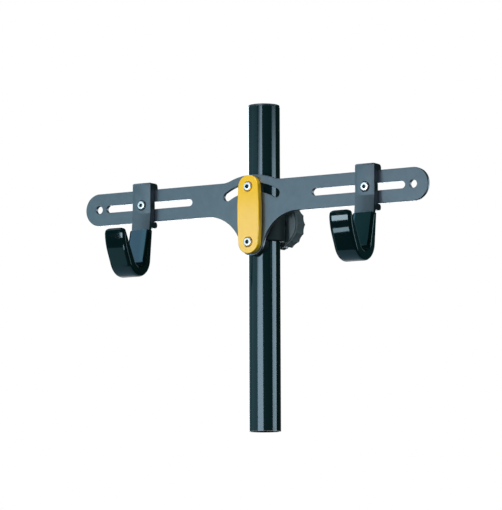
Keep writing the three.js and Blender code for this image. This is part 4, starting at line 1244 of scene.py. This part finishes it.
class TOWER_OT_studio(bpy.types.Operator):
    """Makes the floor, the white wall, the lamps and the camera"""
    bl_idname = "tower.studio"
    bl_label = "Studio"

    def shown_only(self, tree, seen, plain, rays):
        """Mixes what the camera and clear reflections see with what lights the object."""
        shows = add(tree, "ShaderNodeMath", {0: rays.outputs["Is Glossy Ray"],
                                             1: rays.outputs["Is Transmission Ray"]}, operation="MAXIMUM")
        shows = add(tree, "ShaderNodeMath", {0: shows.outputs[0], 1: rays.outputs["Is Camera Ray"]},
                    operation="MAXIMUM")
        return add(tree, "ShaderNodeMixShader", {0: shows.outputs[0], 1: plain.outputs[0], 2: seen.outputs[0]})

    def floor_and_wall(self, sizes):
        """The floor is pale to the camera alone and dull to all other rays, so little light comes up from
        it. The wall shines white to the camera and in gloss, and lights nothing."""
        floor_skin = finish("pale_studio_floor", tuple(sizes.floor), 0.0, 0.7, mottle=(60, 0.01))
        tree = floor_skin.node_tree
        rays = add(tree, "ShaderNodeLightPath")
        dull = add(tree, "ShaderNodeBsdfDiffuse", Color=linear("#2c3436"))
        mixed = add(tree, "ShaderNodeMixShader", {0: rays.outputs["Is Camera Ray"], 1: dull.outputs[0],
                                                  2: tree.nodes["Principled BSDF"].outputs[0]})
        tree.links.new(mixed.outputs[0], tree.nodes["Material Output"].inputs["Surface"])
        reach, level = 12.0, -sizes.floor_drop
        studio_plate("studio_floor", [(-reach, -reach, level), (reach, -reach, level), (reach, reach, level),
                                      (-reach, reach, level)], floor_skin)
        wall_skin = bpy.data.materials.new("white_studio_wall")
        wall_skin.use_nodes = True
        tree = wall_skin.node_tree
        rays = add(tree, "ShaderNodeLightPath")
        glow = add(tree, "ShaderNodeEmission", Color=(1, 1, 1, 1), Strength=1.0)
        black = add(tree, "ShaderNodeBsdfDiffuse", Color=(0, 0, 0, 1))
        mixed = self.shown_only(tree, glow, black, rays)
        tree.links.new(mixed.outputs[0], tree.nodes["Material Output"].inputs["Surface"])
        behind = direction(180 + CAMERA_AZIMUTH, 0) * sizes.wall_distance
        side = Vector((0, 0, 1)).cross(behind).normalized() * 1.2
        studio_plate("studio_wall", [behind + side * u + Vector((0, 0, v)) for u, v in
                                     ((-1, level), (1, level), (1, 2.0), (-1, 2.0))], wall_skin)

    def world(self):
        """A dim room for the object, which the camera sees as plain white."""
        world = bpy.context.scene.world or bpy.data.worlds.new("studio_room")
        bpy.context.scene.world = world
        world.use_nodes = True
        tree = world.node_tree
        tree.nodes.clear()
        rays = add(tree, "ShaderNodeLightPath")
        room = add(tree, "ShaderNodeBackground", Color=linear("#9fe6d8"), Strength=0.06)
        white = add(tree, "ShaderNodeBackground", Color=(1, 1, 1, 1), Strength=1.0)
        mixed = add(tree, "ShaderNodeMixShader", {0: rays.outputs["Is Camera Ray"], 1: room.outputs[0],
                                                  2: white.outputs[0]})
        add(tree, "ShaderNodeOutputWorld", {"Surface": mixed.outputs[0]})

    def groups(self):
        """A collection for each group of pieces that a lamp may be kept to."""
        every = {piece.name for piece in bpy.data.objects if piece.type == "MESH"}
        floor, link = {"studio_floor"}, {"link_plate_enamelled"}
        covers = {name for name in every if name.endswith("_cover_skin")}
        painted = {name for name in every if name.endswith(("cross_arm_plate", "_bracket_casting"))}
        matt, round_parts = every - covers - link - floor, every - covers - painted
        chosen = {
            "dipped_covers": covers, "yellow_link": link, "clamp_knob": {"knob_grip"}, "matt_parts": matt,
            "mast_only": {name for name in every if name.startswith("mast")},
            "arm_only": {"cross_arm_plate"}, "painted_parts": painted,
            "rear_matt_parts": matt - {"mast_tube_surface"}, "all_but_flat_parts": round_parts,
            "curved_parts": round_parts - link - floor, "floor_only": floor,
        }
        made = {"everything": None}
        for group, names in chosen.items():
            made[group] = bpy.data.collections.new(group)
            for name in sorted(names):
                made[group].objects.link(bpy.data.objects[name])
        return made

    def lamps(self):
        """Soft lamps, most flagged off from some pieces, as a product photographer does with glossy ones."""
        groups = self.groups()
        for name, group, *rest in SOFTBOXES:
            softbox(name, groups[group], *rest)
        for name, group, place, side, *rest in LEVEL_PANELS:
            panel(name, groups[group], place, Vector((0, 0, side)), *rest)
        sun = bpy.data.lights.new("floor_light", "SUN")
        sun.energy, sun.angle = math.pi, math.radians(25)
        stood("floor_light", sun).light_linking.receiver_collection = groups["floor_only"]

    def camera(self):
        """The photograph's view: through a long lens, from the right and a little below."""
        data = bpy.data.cameras.new("photo_camera")
        data.lens, data.sensor_width, data.sensor_fit = 225.56, 36, "HORIZONTAL"
        azimuth, elevation, distance, roll = CAMERA_AZIMUTH, -6.56, 3.73588, -0.17
        target = Vector((-18.53 * MM, 0, 210.44 * MM))
        away = direction(azimuth, elevation)
        camera = stood("photo_camera", data)
        camera.location = target + away * distance
        aim = away.to_track_quat("Z", "Y")
        camera.rotation_euler = (aim.to_matrix() @ Matrix.Rotation(math.radians(roll), 3, "Z")).to_euler()
        data.clip_start, data.clip_end = 0.1, 60
        bpy.context.scene.camera = camera

    def execute(self, context):
        self.floor_and_wall(settings("studio"))
        self.world()
        self.lamps()
        self.camera()
        bpy.context.scene.view_settings.view_transform = "Standard"
        return {"FINISHED"}


OPERATORS = (
    TOWER_OT_mast, TOWER_OT_clamp, TOWER_OT_cross_arm, TOWER_OT_link_plate, TOWER_OT_hook_brackets,
    TOWER_OT_hook_covers, TOWER_OT_screws, TOWER_OT_knob, TOWER_OT_hidden_parts, TOWER_OT_studio,
)


class TOWER_PT_sidebar(bpy.types.Panel):
    bl_idname = "TOWER_PT_sidebar"
    bl_label = "Bike storage tower"
    bl_space_type = "VIEW_3D"
    bl_region_type = "UI"
    bl_category = "Bike Tower"

    def draw(self, context):
        for operator in OPERATORS:
            self.layout.operator(operator.bl_idname)
        for name, group in SETTINGS.items():
            box = self.layout.box()
            box.label(text=name.replace("tower_", "").capitalize())
            for key in group.__annotations__:
                box.prop(getattr(context.scene, name), key)


def register():
    for group in SETTINGS.values():
        bpy.utils.register_class(group)
    for name, group in SETTINGS.items():
        setattr(bpy.types.Scene, name, bpy.props.PointerProperty(type=group))
    for operator in OPERATORS:
        bpy.utils.register_class(operator)
    bpy.utils.register_class(TOWER_PT_sidebar)


def unregister():
    bpy.utils.unregister_class(TOWER_PT_sidebar)
    for operator in reversed(OPERATORS):
        bpy.utils.unregister_class(operator)
    for name, group in SETTINGS.items():
        delattr(bpy.types.Scene, name)
        bpy.utils.unregister_class(group)


def main():
    register()
    for operator in OPERATORS:
        group, name = operator.bl_idname.split(".")
        getattr(getattr(bpy.ops, group), name)()


if __name__ == "__main__":
    main()
